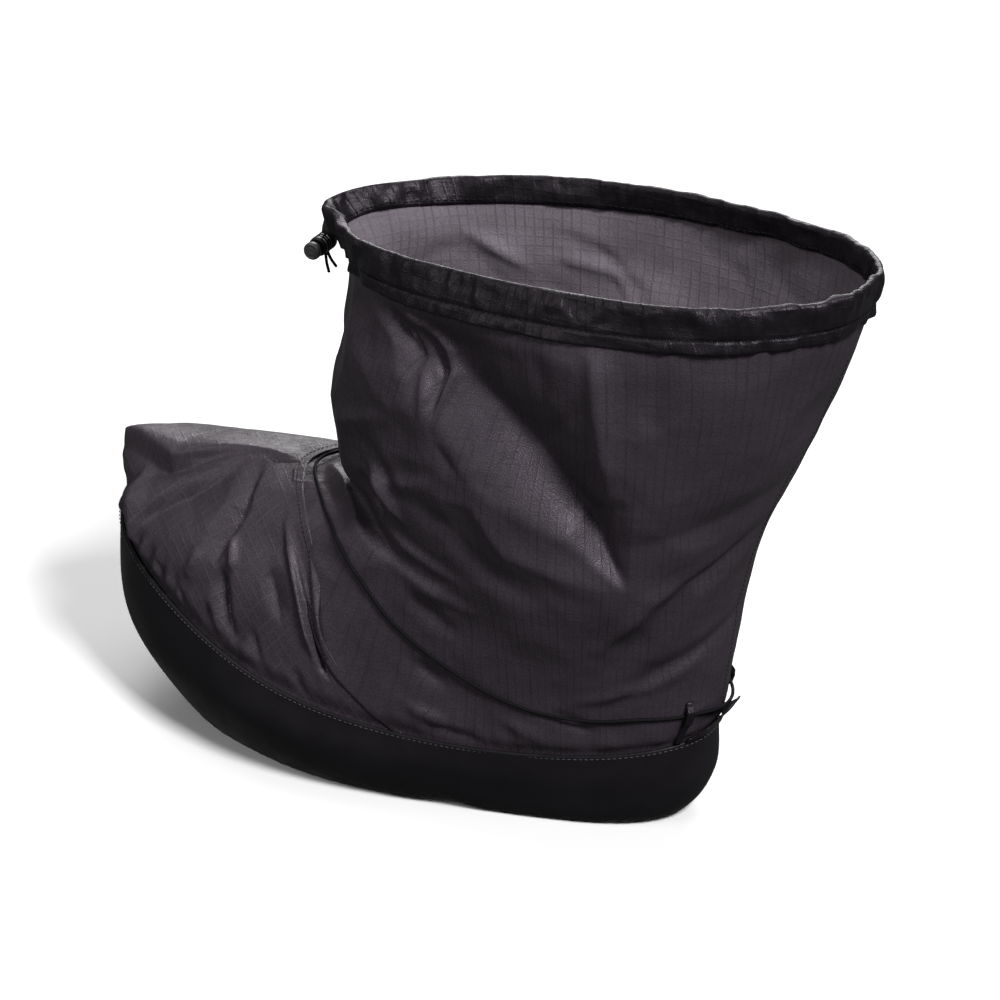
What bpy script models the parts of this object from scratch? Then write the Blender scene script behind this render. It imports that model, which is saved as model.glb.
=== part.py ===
"""A soft overboot for the left foot: fabric upper, turned-up sole, drawcord collar and ankle elastic.

Every named size is in millimetres and is turned into metres where a mesh is made.
The toe points along -Y, the outer side of the foot along +X, and the sole stands on Z = 0.
"""

import math
from collections import namedtuple

import bmesh
import bpy
import numpy as np
from mathutils import Matrix, Vector

METRES = 0.001

# Wall thicknesses, and the clearances that touching plastic and touching curved cloth keep
UPPER_WALL = 1.0
SOLE_WALL = 1.6
KEEPER_WALL = 0.8
GAP = 0.3
CLOTH_GAP = 0.55

# How finely the surfaces are cut, merged and measured
TURNS = 64
KEEPER_TURNS = 8
MERGE_METRES = 1e-6
SLOPE_STEP = 1e-3

# One closed loop round the boot for each row, from the bottom of the sole to the rim of the collar.
# back and front are the loop's ends above the centre line, rear, outer and inner its half widths at
# the heel, on the outer and on the inner side of the ball, dip how far its sides hang below a straight
# line, toe_in how far the toe swings to the inner side, and lean the sideways shift of the whole loop.
Section = namedtuple(
    "Section",
    "name back_y back_z front_y front_z rear outer inner round_back round_front dip toe_in lean",
)
SECTIONS = (
    Section("tread", 105, 0, -95, 0, 28, 36, 34, 2.2, 2.4, 0, 6, 0),
    Section("floor", 139, 0, -126, 0, 45, 57, 55, 2.2, 2.4, 0, 8, 0),
    Section("rand", 155, 22, -155, 44, 52, 73, 71, 2.2, 2.4, 8, 12, 0),
    Section("seam", 156, 48, -158, 94, 54, 69, 68, 2.2, 2.4, 28, 12, 0),
    Section("toe", 160, 64, -157, 118, 54, 61, 59, 2.2, 2.2, 16, 10, 0),
    Section("vamp", 162, 82, -108, 131, 56, 54, 52, 2.1, 2.0, 8, 6, 0),
    Section("throat", 164, 100, -60, 134, 58, 55, 54, 2.1, 2.0, 3, 2, 0),
    Section("instep", 167, 120, -24, 139, 61, 58, 58, 2.1, 2.0, 0, 0, 0),
    Section("ankle", 176, 153, -35, 163, 64, 61, 61, 2.1, 2.0, 0, 0, -1),
    Section("shin", 197, 205, -36, 206, 68, 65, 65, 2.1, 2.0, 0, 0, -3),
    Section("cuff", 212, 247, -32, 244, 67, 62, 64, 2.1, 2.0, 0, 0, -6),
    Section("collar", 221, 282, -47, 264, 60, 52, 67, 2.2, 1.9, 0, 0, -7),
)
TABLE = np.array([row[1:] for row in SECTIONS], dtype=float)
LEVEL = {row.name: float(index) for index, row in enumerate(SECTIONS)}

# Where along a loop the heel's width has become the ball's
BALL_FROM, BALL_OVER = 0.15, 0.55
# Hollow of the waist on the inner side of the foot
WAIST_DEPTH, WAIST_AT, WAIST_REACH, WAIST_TOE_IN = 6.0, 0.42, 0.16, 12.0
# Lift of the sole's underside: toe spring ahead of the ball, and a shallow arch before the heel
SPRING, SPRING_FROM, SPRING_OVER = 12.0, -82.0, 70.0
ARCH, ARCH_AT, ARCH_REACH = 2.0, 44.0, 20.0

# Broad folds of the outer side, as lines seen from the side: depth below zero is a trough
Fold = namedtuple("Fold", "name start_y start_z end_y end_z depth reach")
FOLDS = (
    Fold("shaft notch", 131, 145, 84, 204, -7.0, 13.0),
    Fold("facet under the notch", 112, 128, 40, 158, 4.0, 16.0),
    Fold("front crescent", 18, 246, 46, 216, -5.0, 12.0),
    Fold("heel fan", 172, 170, 138, 92, -3.0, 12.0),
    Fold("throat pleat", -36, 122, -12, 72, -3.0, 10.0),
)
FOLD_SIDE_REACH = 18.0
FOLD_FADE = 0.5

# Levels at which the surfaces are cut, counted in rows of the section table
SOLE_LEVELS = (1.0, 1.3, 1.6, 2.0, 2.5, 3.0)
UPPER_FOOT_LEVELS = (2.8, 2.92, 3.06, 3.3, 3.65, 4.0, 4.35, 4.7, 5.1, 5.5)
UPPER_SHAFT_LEVELS = (6.0, 6.5, 7.0, 7.5, 8.0, 8.5, 9.0, 9.4, 9.75)
TUCK_START, TUCK_EASE = 0.02, 0.3
UPPER_TOP_DROPS = (22.0, 15.0, 4.0)

# Points inside the boot, from which its surfaces face away
INSIDE_FOOT = (0.0, 0.0, 60.0)
INSIDE_SHAFT = (0.0, 60.0, 120.0)

# Spine of the sole's underside, ahead of and behind which the rows run round the heel and toe
SPINE_INSET = 42.0
UNDERSIDE_FRACTIONS = (0.0, 0.4, 0.75)

# Collar casing, as a closed outline: how far it stands proud of the upper, and how far below the rim
CASING_PROFILE = (
    (1.9, 22.0),
    (CLOTH_GAP, 22.0),
    (CLOTH_GAP, 15.0),
    (CLOTH_GAP, 3.5),
    (-UPPER_WALL - CLOTH_GAP, 3.5),
    (-UPPER_WALL - CLOTH_GAP, 15.0),
    (-2.6, 15.0),
    (-3.4, 8.0),
    (-2.6, 1.0),
    (-0.5, -1.0),
    (1.5, 1.0),
    (2.6, 8.5),
    (1.6, 12.5),
    (1.4, 17.0),
)
# Gathered beak of the casing at the front, where the drawcord comes out
BEAK_PROUD, BEAK_REACH, BEAK_DROP, BEAK_DROP_REACH = 10.0, 0.13, 12.0, 5.0
BEAK_ROOT = 1.6

# Ankle elastic: its level on the upper at turns from the heel round to the instep, in degrees
ELASTIC_RADIUS = 1.0
ELASTIC_POINTS = 64
ELASTIC_STAND = 0.8
ElasticStop = namedtuple("ElasticStop", "degrees level")
ELASTIC_STOPS = (
    ElasticStop(0, 3.98),
    ElasticStop(20, 4.02),
    ElasticStop(36, 3.98),
    ElasticStop(48, 3.87),
    ElasticStop(63, 3.98),
    ElasticStop(78, 4.4),
    ElasticStop(94, 4.92),
    ElasticStop(110, 5.5),
    ElasticStop(124, 5.93),
    ElasticStop(148, 6.3),
    ElasticStop(180, 6.25),
)
# How far the heel keeper draws the elastic off the upper, and within how many degrees of the heel
ELASTIC_LIFT, ELASTIC_LIFT_WITHIN = 1.3, 18.0

# Heel keeper, a flap sewn in at the rand that leans away from the heel: its foot, its top edge at the
# middle and at its two ends, and how far it stands proud at the foot and more with each level
KEEPER_HALF_TURN = 17.0
KEEPER_FOOT, KEEPER_TOP, KEEPER_END = 3.04, 4.18, 3.2
KEEPER_PROUD, KEEPER_LEAN = 0.4, 4.6
KEEPER_ROWS = 5

# Straps that hold the elastic beside the keeper: level and how far they stand proud
STRAP_FROM, STRAP_TO = 18.6, 21.2
STRAP_PROFILE = (
    (3.12, 0.4),
    (3.4, 0.5),
    (3.7, 1.6),
    (3.85, 3.2),
    (4.02, 3.6),
    (4.2, 3.2),
    (4.32, 1.2),
    (4.4, 0.4),
)

# Cord lock under the beak, with its button on the outer end and the drawcord through its inner half
LOCK_RADIUS = 4.6
LOCK_LENGTH = 11.0
LOCK_BEHIND_TIP = 0.0
LOCK_BELOW_TIP = 5.2
BUTTON_RADIUS = 4.1
BUTTON_HEAD = 3.0
BUTTON_STEM_RADIUS = 2.7
BUTTON_TRAVEL = 2.5
BORE_DEPTH = 5.8
EYE_RADIUS = 1.85
EYE_FROM_CENTRE = 2.9
ROUND_SEGMENTS = 20
EDGE_ROUNDING = 0.5
CUT_PAST = 1.0

# The drawcord's two ends, from the beak through the lock's eye to their tips
CORD_RADIUS = 0.7
CORD_APART = 0.85
CORD_POINTS = 14
CORD_ABOVE_LOCK = 0.3
CORD_TAIL = 9.0
CORD_SPREAD = 2.5
CORD_BACKWARD = 3.0

# Base colours, roughness
Finish = namedtuple("Finish", "colour roughness")
FINISHES = {
    "coated_sole": Finish((0.009, 0.008, 0.010), 0.62),
    "ripstop": Finish((0.036, 0.030, 0.036), 0.55),
    "casing_cloth": Finish((0.012, 0.010, 0.013), 0.6),
    "elastic": Finish((0.004, 0.004, 0.005), 0.7),
    "lock_plastic": Finish((0.010, 0.010, 0.011), 0.4),
    "button_plastic": Finish((0.16, 0.16, 0.17), 0.4),
    "drawcord": Finish((0.008, 0.008, 0.009), 0.75),
}


def eased(part):
    """Smooth step from 0 to 1."""
    part = np.clip(part, 0.0, 1.0)
    return part * part * (3.0 - 2.0 * part)


def section_at(level):
    """Columns of the section table at levels between its rows, on a smooth curve through the rows."""
    index = np.clip(np.floor(level).astype(int), 0, len(TABLE) - 2)
    part = (level - index)[..., None]
    before = TABLE[np.maximum(index - 1, 0)]
    start = TABLE[index]
    end = TABLE[index + 1]
    after = TABLE[np.minimum(index + 2, len(TABLE) - 1)]
    linear = (end - before) / 2.0
    square = before - 2.5 * start + 2.0 * end - 0.5 * after
    cube = 1.5 * (start - end) + 0.5 * (after - before)
    return start + part * (linear + part * (square + part * cube))


def underside(y):
    """Height of the sole's underside above the floor at a place along its length."""
    spring = SPRING * eased((SPRING_FROM - y) / SPRING_OVER)
    arch = ARCH * eased(1.0 - np.abs(y - ARCH_AT) / ARCH_REACH)
    return spring + arch


def plain_skin(level, turn):
    """Points of the unfolded boot, for levels up the boot and turns from the heel over the outer side."""
    columns = np.moveaxis(section_at(level), -1, 0)
    back_y, back_z, front_y, front_z, rear, outer, inner = columns[:7]
    round_back, round_front, dip, toe_in, lean = columns[7:]
    cosine = np.cos(turn)
    sine = np.sin(turn)
    power = 2.0 / np.where(cosine > 0, round_back, round_front)
    along = (1.0 - np.sign(cosine) * np.abs(cosine) ** power) / 2.0
    across = np.abs(sine) ** power
    ball = eased((along - BALL_FROM) / BALL_OVER)
    waist = WAIST_DEPTH * np.exp(-(((along - WAIST_AT) / WAIST_REACH) ** 2)) * eased(toe_in / WAIST_TOE_IN)
    half = np.where(sine >= 0, rear + (outer - rear) * ball, waist - rear - (inner - rear) * ball)
    x = half * across + lean - toe_in * eased(2.0 * along - 1.0)
    y = back_y + (front_y - back_y) * along
    z = back_z + (front_z - back_z) * along - 4.0 * dip * along * (1.0 - along)
    lifted = underside(y) * eased(LEVEL["rand"] - level)
    return np.stack((x, y, z + lifted), axis=-1)


def normals(level, turn):
    """Outward unit normals of the unfolded boot."""
    around = plain_skin(level, turn + SLOPE_STEP) - plain_skin(level, turn - SLOPE_STEP)
    upward = plain_skin(level + SLOPE_STEP, turn) - plain_skin(level - SLOPE_STEP, turn)
    outward = np.cross(upward, around)
    return outward / np.linalg.norm(outward, axis=-1, keepdims=True)


def fold_heights(points):
    """How far the broad folds lift the outer side of the upper at these points."""
    height = np.zeros(points.shape[:-1])
    for fold in FOLDS:
        start = np.array((fold.start_y, fold.start_z), dtype=float)
        run = np.array((fold.end_y, fold.end_z), dtype=float) - start
        offset = points[..., 1:] - start
        share = np.clip(offset @ run / (run @ run), 0.0, 1.0)
        away = np.linalg.norm(offset - share[..., None] * run, axis=-1)
        height += fold.depth * np.exp(-((away / fold.reach) ** 2))
    return height * eased(points[..., 0] / FOLD_SIDE_REACH)


def skin(level, turn, proud=0.0):
    """Points on the boot's folded surface, moved outward by proud."""
    level, turn = np.broadcast_arrays(np.asarray(level, dtype=float), np.asarray(turn, dtype=float))
    plain = plain_skin(level, turn)
    above_seam = eased((level - LEVEL["seam"]) / FOLD_FADE)
    below_casing = eased((LEVEL["cuff"] - level) / FOLD_FADE)
    height = fold_heights(plain) * above_seam * below_casing + proud
    return plain + normals(level, turn) * np.asarray(height)[..., None]


def level_below_rim(drop, turn):
    """Level of the points that lie a distance below the collar's rim, measured down the upper."""
    turn = np.asarray(turn, dtype=float)
    rim = np.full(turn.shape, LEVEL["collar"])
    run = np.linalg.norm(plain_skin(rim, turn) - plain_skin(rim - 1.0, turn), axis=-1)
    return LEVEL["collar"] - drop / run


def in_collection(obj, collection):
    """Move an object into the boot's collection."""
    for holder in list(obj.users_collection):
        holder.objects.unlink(obj)
    collection.objects.link(obj)
    return obj


def material(name):
    """The named Principled material, made once."""
    found = bpy.data.materials.get(name)
    if found:
        return found
    made = bpy.data.materials.new(name)
    made.use_nodes = True
    shader = made.node_tree.nodes["Principled BSDF"]
    finish = FINISHES[name]
    shader.inputs["Base Color"].default_value = (*finish.colour, 1.0)
    shader.inputs["Roughness"].default_value = finish.roughness
    shader.inputs["Metallic"].default_value = 0.0
    return made


def draped_object(name, columns, rows, place, collection, finish):
    """A grid laid over the boot: place turns its column and row numbers into points in millimetres."""
    shape = bmesh.new()
    bmesh.ops.create_grid(shape, x_segments=columns, y_segments=rows, size=0.5)
    flat = np.array([vertex.co for vertex in shape.verts])
    column = np.rint((flat[:, 0] + 0.5) * columns).astype(int)
    row = np.rint((flat[:, 1] + 0.5) * rows).astype(int)
    for vertex, point in zip(shape.verts, place(column, row)):
        vertex.co = Vector(point) * METRES
    bmesh.ops.remove_doubles(shape, verts=shape.verts, dist=MERGE_METRES)
    mesh = bpy.data.meshes.new(name)
    bmesh.ops.recalc_face_normals(shape, faces=shape.faces)
    shape.to_mesh(mesh)
    shape.free()
    mesh.shade_smooth()
    mesh.materials.append(material(finish))
    obj = bpy.data.objects.new(name, mesh)
    collection.objects.link(obj)
    return obj


def thicken(obj, wall, offset):
    """Give an open surface its wall."""
    solid = obj.modifiers.new("wall", "SOLIDIFY")
    solid.thickness = wall * METRES
    solid.offset = offset
    solid.use_even_offset = False
    solid.use_rim = True
    return obj


def flip_outward(obj, centre):
    """Turn an open surface's faces away from a point inside the boot."""
    shape = bmesh.new()
    shape.from_mesh(obj.data)
    inside = Vector(centre) * METRES
    outward = 0.0
    for face in shape.faces:
        outward += (face.calc_center_median() - inside).dot(face.normal) * face.calc_area()
    if outward < 0:
        bmesh.ops.reverse_faces(shape, faces=shape.faces)
    shape.to_mesh(obj.data)
    shape.free()
    obj.data.shade_smooth()


def make_sole(collection):
    """Sole and rand in one tray: flat underside, rounded edge, and a wall up to the seam."""
    fractions = np.array(UNDERSIDE_FRACTIONS)
    levels = np.array(SOLE_LEVELS)
    rows = len(fractions) + len(levels) - 1
    floor = LEVEL["floor"]

    def place(column, row):
        turn = column * (2.0 * math.pi / TURNS)
        wall_row = np.clip(row - len(fractions), 0, None)
        wall = skin(levels[wall_row], turn)
        edge = skin(np.full(turn.shape, floor), turn)
        mirrored = skin(np.full(turn.shape, floor), -turn)
        back = SECTIONS[int(floor)].back_y - SPINE_INSET
        front = SECTIONS[int(floor)].front_y + SPINE_INSET
        share = (edge[:, 1] - edge[:, 1].min()) / (edge[:, 1].max() - edge[:, 1].min())
        spine = (edge + mirrored) / 2.0
        spine[:, 1] = front + (back - front) * share
        part = fractions[np.clip(row, 0, len(fractions) - 1)][:, None]
        under = spine + (edge - spine) * part
        under[:, 2] = underside(under[:, 1])
        return np.where((row < len(fractions))[:, None], under, wall)

    sole = draped_object("sole", TURNS, rows, place, collection, "coated_sole")
    flip_outward(sole, INSIDE_FOOT)
    return thicken(sole, SOLE_WALL, -1.0)


def make_upper(collection):
    """Hollow upper from inside the rand to just under the collar's rim."""
    levels = np.array(UPPER_FOOT_LEVELS + UPPER_SHAFT_LEVELS)
    tucked = SOLE_WALL + CLOTH_GAP
    drops = np.array(UPPER_TOP_DROPS)

    def place(column, row):
        turn = column * (2.0 * math.pi / TURNS)
        from_table = levels[np.minimum(row, len(levels) - 1)]
        from_rim = level_below_rim(drops[np.clip(row - len(levels), 0, None)], turn)
        level = np.where(row < len(levels), from_table, from_rim)
        proud = -tucked * (1.0 - eased((level - LEVEL["seam"] - TUCK_START) / TUCK_EASE))
        return skin(level, turn, proud)

    upper = draped_object("upper", TURNS, len(levels) + len(drops) - 1, place, collection, "ripstop")
    flip_outward(upper, INSIDE_SHAFT)
    return thicken(upper, UPPER_WALL, -1.0)


def beak(drop, turn):
    """How much further the casing stands out at the gathered beak."""
    sideways = ((turn - math.pi) / BEAK_REACH) ** 2
    downward = ((drop - BEAK_DROP) / BEAK_DROP_REACH) ** 2
    return BEAK_PROUD * np.exp(-sideways - downward)


def make_casing(collection):
    """Drawcord casing: a doubled band folded over the upper's top edge, with a beak at the front."""
    profile = np.array(CASING_PROFILE)

    def place(column, row):
        turn = column * (2.0 * math.pi / TURNS)
        proud, drop = profile[row % len(profile)].T
        outside = proud > CLOTH_GAP
        return skin(level_below_rim(drop, turn), turn, proud + np.where(outside, beak(drop, turn), 0.0))

    return draped_object("collar_casing", TURNS, len(profile), place, collection, "casing_cloth")


def degrees_from_heel(turn):
    """Degrees between a turn and the heel, on either side."""
    return np.abs((np.degrees(turn) + 180.0) % 360.0 - 180.0)


def elastic_level(turn):
    """Level of the ankle elastic at a turn, alike on both sides."""
    away = degrees_from_heel(turn)
    stops = np.array(ELASTIC_STOPS, dtype=float)
    index = np.clip(np.searchsorted(stops[:, 0], away, side="right") - 1, 0, len(stops) - 2)
    part = (away - stops[index, 0]) / (stops[index + 1, 0] - stops[index, 0])
    slopes = np.gradient(stops[:, 1], stops[:, 0])
    slopes[0] = slopes[-1] = 0.0
    run = stops[index + 1, 0] - stops[index, 0]
    rise = stops[index + 1, 1] - stops[index, 1]
    bend_in = slopes[index] * run - rise
    bend_out = rise - slopes[index + 1] * run
    straight = stops[index, 1] + part * rise
    return straight + part * (1.0 - part) * (bend_in * (1.0 - part) + bend_out * part)


def tube(name, points, radius, cyclic, collection, finish):
    """A round cord along points in millimetres."""
    curve = bpy.data.curves.new(name, "CURVE")
    curve.dimensions = "3D"
    curve.bevel_depth = radius * METRES
    curve.bevel_resolution = 2
    curve.use_fill_caps = not cyclic
    spline = curve.splines.new("POLY")
    spline.points.add(len(points) - 1)
    for knot, point in zip(spline.points, points):
        knot.co = (*(Vector(point) * METRES), 1.0)
    spline.use_cyclic_u = cyclic
    curve.materials.append(material(finish))
    obj = bpy.data.objects.new(name, curve)
    collection.objects.link(obj)
    return obj


def make_elastic(collection):
    """Elastic cord drawn round the ankle, from the instep down to the heel."""
    turn = np.arange(ELASTIC_POINTS) * (2.0 * math.pi / ELASTIC_POINTS)
    lift = ELASTIC_LIFT * eased((ELASTIC_LIFT_WITHIN - degrees_from_heel(turn)) / ELASTIC_LIFT_WITHIN)
    points = skin(elastic_level(turn), turn, ELASTIC_RADIUS + ELASTIC_STAND + lift)
    return tube("ankle_elastic", points, ELASTIC_RADIUS, True, collection, "elastic")


def make_keeper(collection):
    """Flap at the heel that holds the elastic off the upper, sewn in at the rand's seam."""
    half = math.radians(KEEPER_HALF_TURN)

    def place(column, row):
        across = column * (2.0 / KEEPER_TURNS) - 1.0
        top = KEEPER_END + (KEEPER_TOP - KEEPER_END) * np.cos(across * math.pi / 2.0) ** 2
        rise = (top - KEEPER_FOOT) * row / KEEPER_ROWS
        return skin(KEEPER_FOOT + rise, across * half, KEEPER_PROUD + KEEPER_LEAN * rise)

    keeper = draped_object("heel_keeper", KEEPER_TURNS, KEEPER_ROWS, place, collection, "casing_cloth")
    flip_outward(keeper, INSIDE_SHAFT)
    return thicken(keeper, KEEPER_WALL, 1.0)


def make_strap(name, side, collection):
    """Short strap over the elastic, on the outer side for side 1 and on the inner side for side -1."""
    profile = np.array(STRAP_PROFILE)
    edges = np.radians((STRAP_FROM, STRAP_TO)) * side

    def place(column, row):
        level, proud = profile[row].T
        return skin(level, edges[column], proud)

    strap = draped_object(name, len(edges) - 1, len(profile) - 1, place, collection, "casing_cloth")
    flip_outward(strap, INSIDE_SHAFT)
    return thicken(strap, KEEPER_WALL, 1.0)


def cylinder(name, radius, length, centre, axis, collection):
    """A closed cylinder along X or Z."""
    bpy.ops.mesh.primitive_cylinder_add(
        vertices=ROUND_SEGMENTS,
        radius=radius * METRES,
        depth=length * METRES,
    )
    obj = bpy.context.active_object
    obj.name = name
    obj.data.name = name
    if axis == "X":
        obj.data.transform(Matrix.Rotation(math.pi / 2.0, 4, "Y"))
    obj.location = Vector(centre) * METRES
    return in_collection(obj, collection)


def round_edges(obj):
    """Soften the hard rims of a small plastic piece."""
    bevel = obj.modifiers.new("rounding", "BEVEL")
    bevel.width = EDGE_ROUNDING * METRES
    bevel.segments = 2
    bevel.limit_method = "ANGLE"


def combine(obj, other, operation):
    """Cut a piece with another, or join the two."""
    change = obj.modifiers.new(other.name, "BOOLEAN")
    change.operation = operation
    change.solver = "EXACT"
    change.object = other
    other.hide_render = True
    other.display_type = "WIRE"


def lock_centre():
    """Middle of the cord lock, hanging just under the tip of the beak."""
    turn = np.array(math.pi)
    tip = skin(level_below_rim(BEAK_DROP, turn), turn, BEAK_ROOT + BEAK_PROUD)
    return tip + np.array((0.0, LOCK_BEHIND_TIP, -LOCK_BELOW_TIP))


def make_lock(collection, cutters):
    """Barrel with an eye for the cord and a bore in its outer end, and the button in that bore."""
    x, y, z = lock_centre()
    outer_end = x + LOCK_LENGTH / 2.0
    bore_middle = outer_end + (CUT_PAST - BORE_DEPTH) / 2.0

    barrel = cylinder("cord_lock_barrel", LOCK_RADIUS, LOCK_LENGTH, (x, y, z), "X", collection)
    round_edges(barrel)
    bore_radius = BUTTON_STEM_RADIUS + GAP
    bore = cylinder("lock_bore", bore_radius, BORE_DEPTH + CUT_PAST, (bore_middle, y, z), "X", cutters)
    eye_length = 2.0 * (LOCK_RADIUS + CUT_PAST)
    eye = cylinder("lock_eye", EYE_RADIUS, eye_length, (x - EYE_FROM_CENTRE, y, z), "Z", cutters)
    combine(barrel, bore, "DIFFERENCE")
    combine(barrel, eye, "DIFFERENCE")
    barrel.data.materials.append(material("lock_plastic"))

    head_middle = outer_end + BUTTON_TRAVEL + GAP + BUTTON_HEAD / 2.0
    button = cylinder("cord_lock_button", BUTTON_RADIUS, BUTTON_HEAD, (head_middle, y, z), "X", collection)
    stem_end = outer_end - BORE_DEPTH + BUTTON_TRAVEL + GAP
    stem_length = head_middle - stem_end
    stem_middle = (head_middle + stem_end) / 2.0
    stem = cylinder("button_stem", BUTTON_STEM_RADIUS, stem_length, (stem_middle, y, z), "X", cutters)
    combine(button, stem, "UNION")
    round_edges(button)
    button.data.materials.append(material("button_plastic"))


def make_cord_ends(collection):
    """The two ends of the drawcord, down through the lock's eye to their free tips."""
    x, y, z = lock_centre()
    top = z + LOCK_RADIUS + CORD_ABOVE_LOCK
    length = 2.0 * LOCK_RADIUS + CORD_ABOVE_LOCK + CORD_TAIL
    down = np.linspace(0.0, length, CORD_POINTS)
    free = eased((down - length + CORD_TAIL) / (2.0 * CORD_TAIL)) * 2.0
    for name, side in (("drawcord_end_outer", 1.0), ("drawcord_end_inner", -1.0)):
        across = x - EYE_FROM_CENTRE + side * (CORD_APART + CORD_SPREAD * free)
        along = y + CORD_BACKWARD * free
        points = np.stack((across, along, top - down), axis=-1)
        tube(name, points, CORD_RADIUS, False, collection, "drawcord")


def main():
    """Build the boot."""
    for obj in list(bpy.data.objects):
        bpy.data.objects.remove(obj, do_unlink=True)
    collection = bpy.data.collections.new("overboot")
    cutters = bpy.data.collections.new("cutters")
    for holder in (collection, cutters):
        bpy.context.scene.collection.children.link(holder)
    make_sole(collection)
    make_upper(collection)
    make_casing(collection)
    make_elastic(collection)
    make_keeper(collection)
    make_strap("elastic_strap_outer", 1.0, collection)
    make_strap("elastic_strap_inner", -1.0, collection)
    make_lock(collection, cutters)
    make_cord_ends(collection)


if __name__ == "__main__":
    main()
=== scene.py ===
"""Looks of a soft overboot for the left foot: ripstop upper, coated sole, drawcord and elastic.

Sizes are in millimetres unless a name ends in metres, and are turned into metres where a mesh is made.
The toe points along -Y, the outer side of the foot along +X, and the sole stands on Z = 0.
A level counts the rows of the section table from the tread up, and a turn runs from the heel over the
outer side of the foot and the toe back to the heel.
"""

import logging
import math
from abc import ABC, abstractmethod
from dataclasses import dataclass
from enum import Enum, IntEnum

import bmesh
import bpy
import numpy as np
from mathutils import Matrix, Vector


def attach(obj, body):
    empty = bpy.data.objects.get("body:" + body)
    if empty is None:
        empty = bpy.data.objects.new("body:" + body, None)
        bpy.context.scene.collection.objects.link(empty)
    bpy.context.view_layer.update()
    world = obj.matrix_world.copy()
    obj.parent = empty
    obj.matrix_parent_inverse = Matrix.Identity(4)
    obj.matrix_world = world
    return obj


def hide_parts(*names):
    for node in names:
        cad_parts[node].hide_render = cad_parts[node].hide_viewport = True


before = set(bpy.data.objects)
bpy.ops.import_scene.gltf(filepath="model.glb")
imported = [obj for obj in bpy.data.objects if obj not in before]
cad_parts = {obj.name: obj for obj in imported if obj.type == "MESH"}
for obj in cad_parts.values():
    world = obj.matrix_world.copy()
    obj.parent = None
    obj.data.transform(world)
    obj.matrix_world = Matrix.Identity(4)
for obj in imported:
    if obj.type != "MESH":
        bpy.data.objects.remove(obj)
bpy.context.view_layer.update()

METRES = 0.001
WELD_METRES = 1e-7
FULL_TURN = 2.0 * math.pi
LOG = logging.getLogger("overboot")

# Names of the cloth map and of the attribute that marks the sole's pebbled part
WEAVE = "weave"
PEBBLE = "pebble"

# Shortest and longest wave of a random field, as shares of its typical length
WAVE_SPREAD = (0.7, 1.5)

# Fine steps that each row of a panel is measured in, and that a smooth path takes between two knots
ROW_STEPS = 4
KNOT_STEPS = 12

# Rounded end of a cord, as shares of its radius: how far out its shoulder and its tip lie, and how wide
# the shoulder is
SHOULDER_AT = 0.45
SHOULDER_WIDE = 0.6
TIP_AT = 0.6

# A direction that no cord starts along
ASIDE = (0.3, 0.2, 1.0)

# Range that most of a noise lies in
NOISE_SPAN = (0.3, 0.7)

# A Mix node's sockets for colours by their place, because their names repeat
MIX_SHARE = 0
MIX_FIRST = 6
MIX_SECOND = 7
MIX_RESULT = 2

Place = tuple[float, float, float]
Colour = tuple[float, float, float]
Pair = tuple[float, float]

# Two ends of a range that is read, and the results there
Span = tuple[float, float, float, float]


class Level(IntEnum):
    """Rows of the section table."""

    TREAD = 0
    FLOOR = 1
    RAND = 2
    SEAM = 3
    TOE = 4
    VAMP = 5
    THROAT = 6
    INSTEP = 7
    ANKLE = 8
    SHIN = 9
    CUFF = 10
    COLLAR = 11


class Taper(Enum):
    """How a crease runs out along its length: shares of the length, of its depth and of its width."""

    BOTH = ((0.0, 0.15, 0.7), (0.2, 0.75, 0.95), (0.5, 1.0, 1.0), (0.8, 0.75, 0.95), (1.0, 0.15, 0.7))
    START = ((0.0, 0.0, 0.12), (1.0, 1.0, 1.0))
    EVEN = ((0.0, 0.8, 0.8), (0.4, 1.0, 1.0), (1.0, 0.6, 0.8))
    NOTCH = ((0.0, 0.0, 0.05), (0.06, 0.24, 0.12), (0.2, 0.6, 0.34), (0.55, 1.0, 0.9), (1.0, 0.5, 1.0))


class Body(Enum):
    """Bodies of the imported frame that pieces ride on."""

    BOOT = "boot"
    BUTTON = "button"


class Slot(Enum):
    """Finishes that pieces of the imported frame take."""

    RIPSTOP = "ripstop"
    COATED_SOLE = "coated_sole"
    CASING_CLOTH = "casing_cloth"
    DRAWCORD = "drawcord"
    ELASTIC = "elastic"
    LOCK_PLASTIC = "lock_plastic"
    BUTTON_PLASTIC = "button_plastic"


@dataclass(frozen=True)
class Section:
    """One closed loop round the boot.

    back and front are the loop's ends above the centre line, rear, outer and inner its half widths,
    dip how far its sides hang, toe_in the toe's swing to the inner side, and lean a sideways shift.
    """

    back_y: float
    back_z: float
    front_y: float
    front_z: float
    rear: float
    outer: float
    inner: float
    round_back: float
    round_front: float
    dip: float
    toe_in: float
    lean: float


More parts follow.
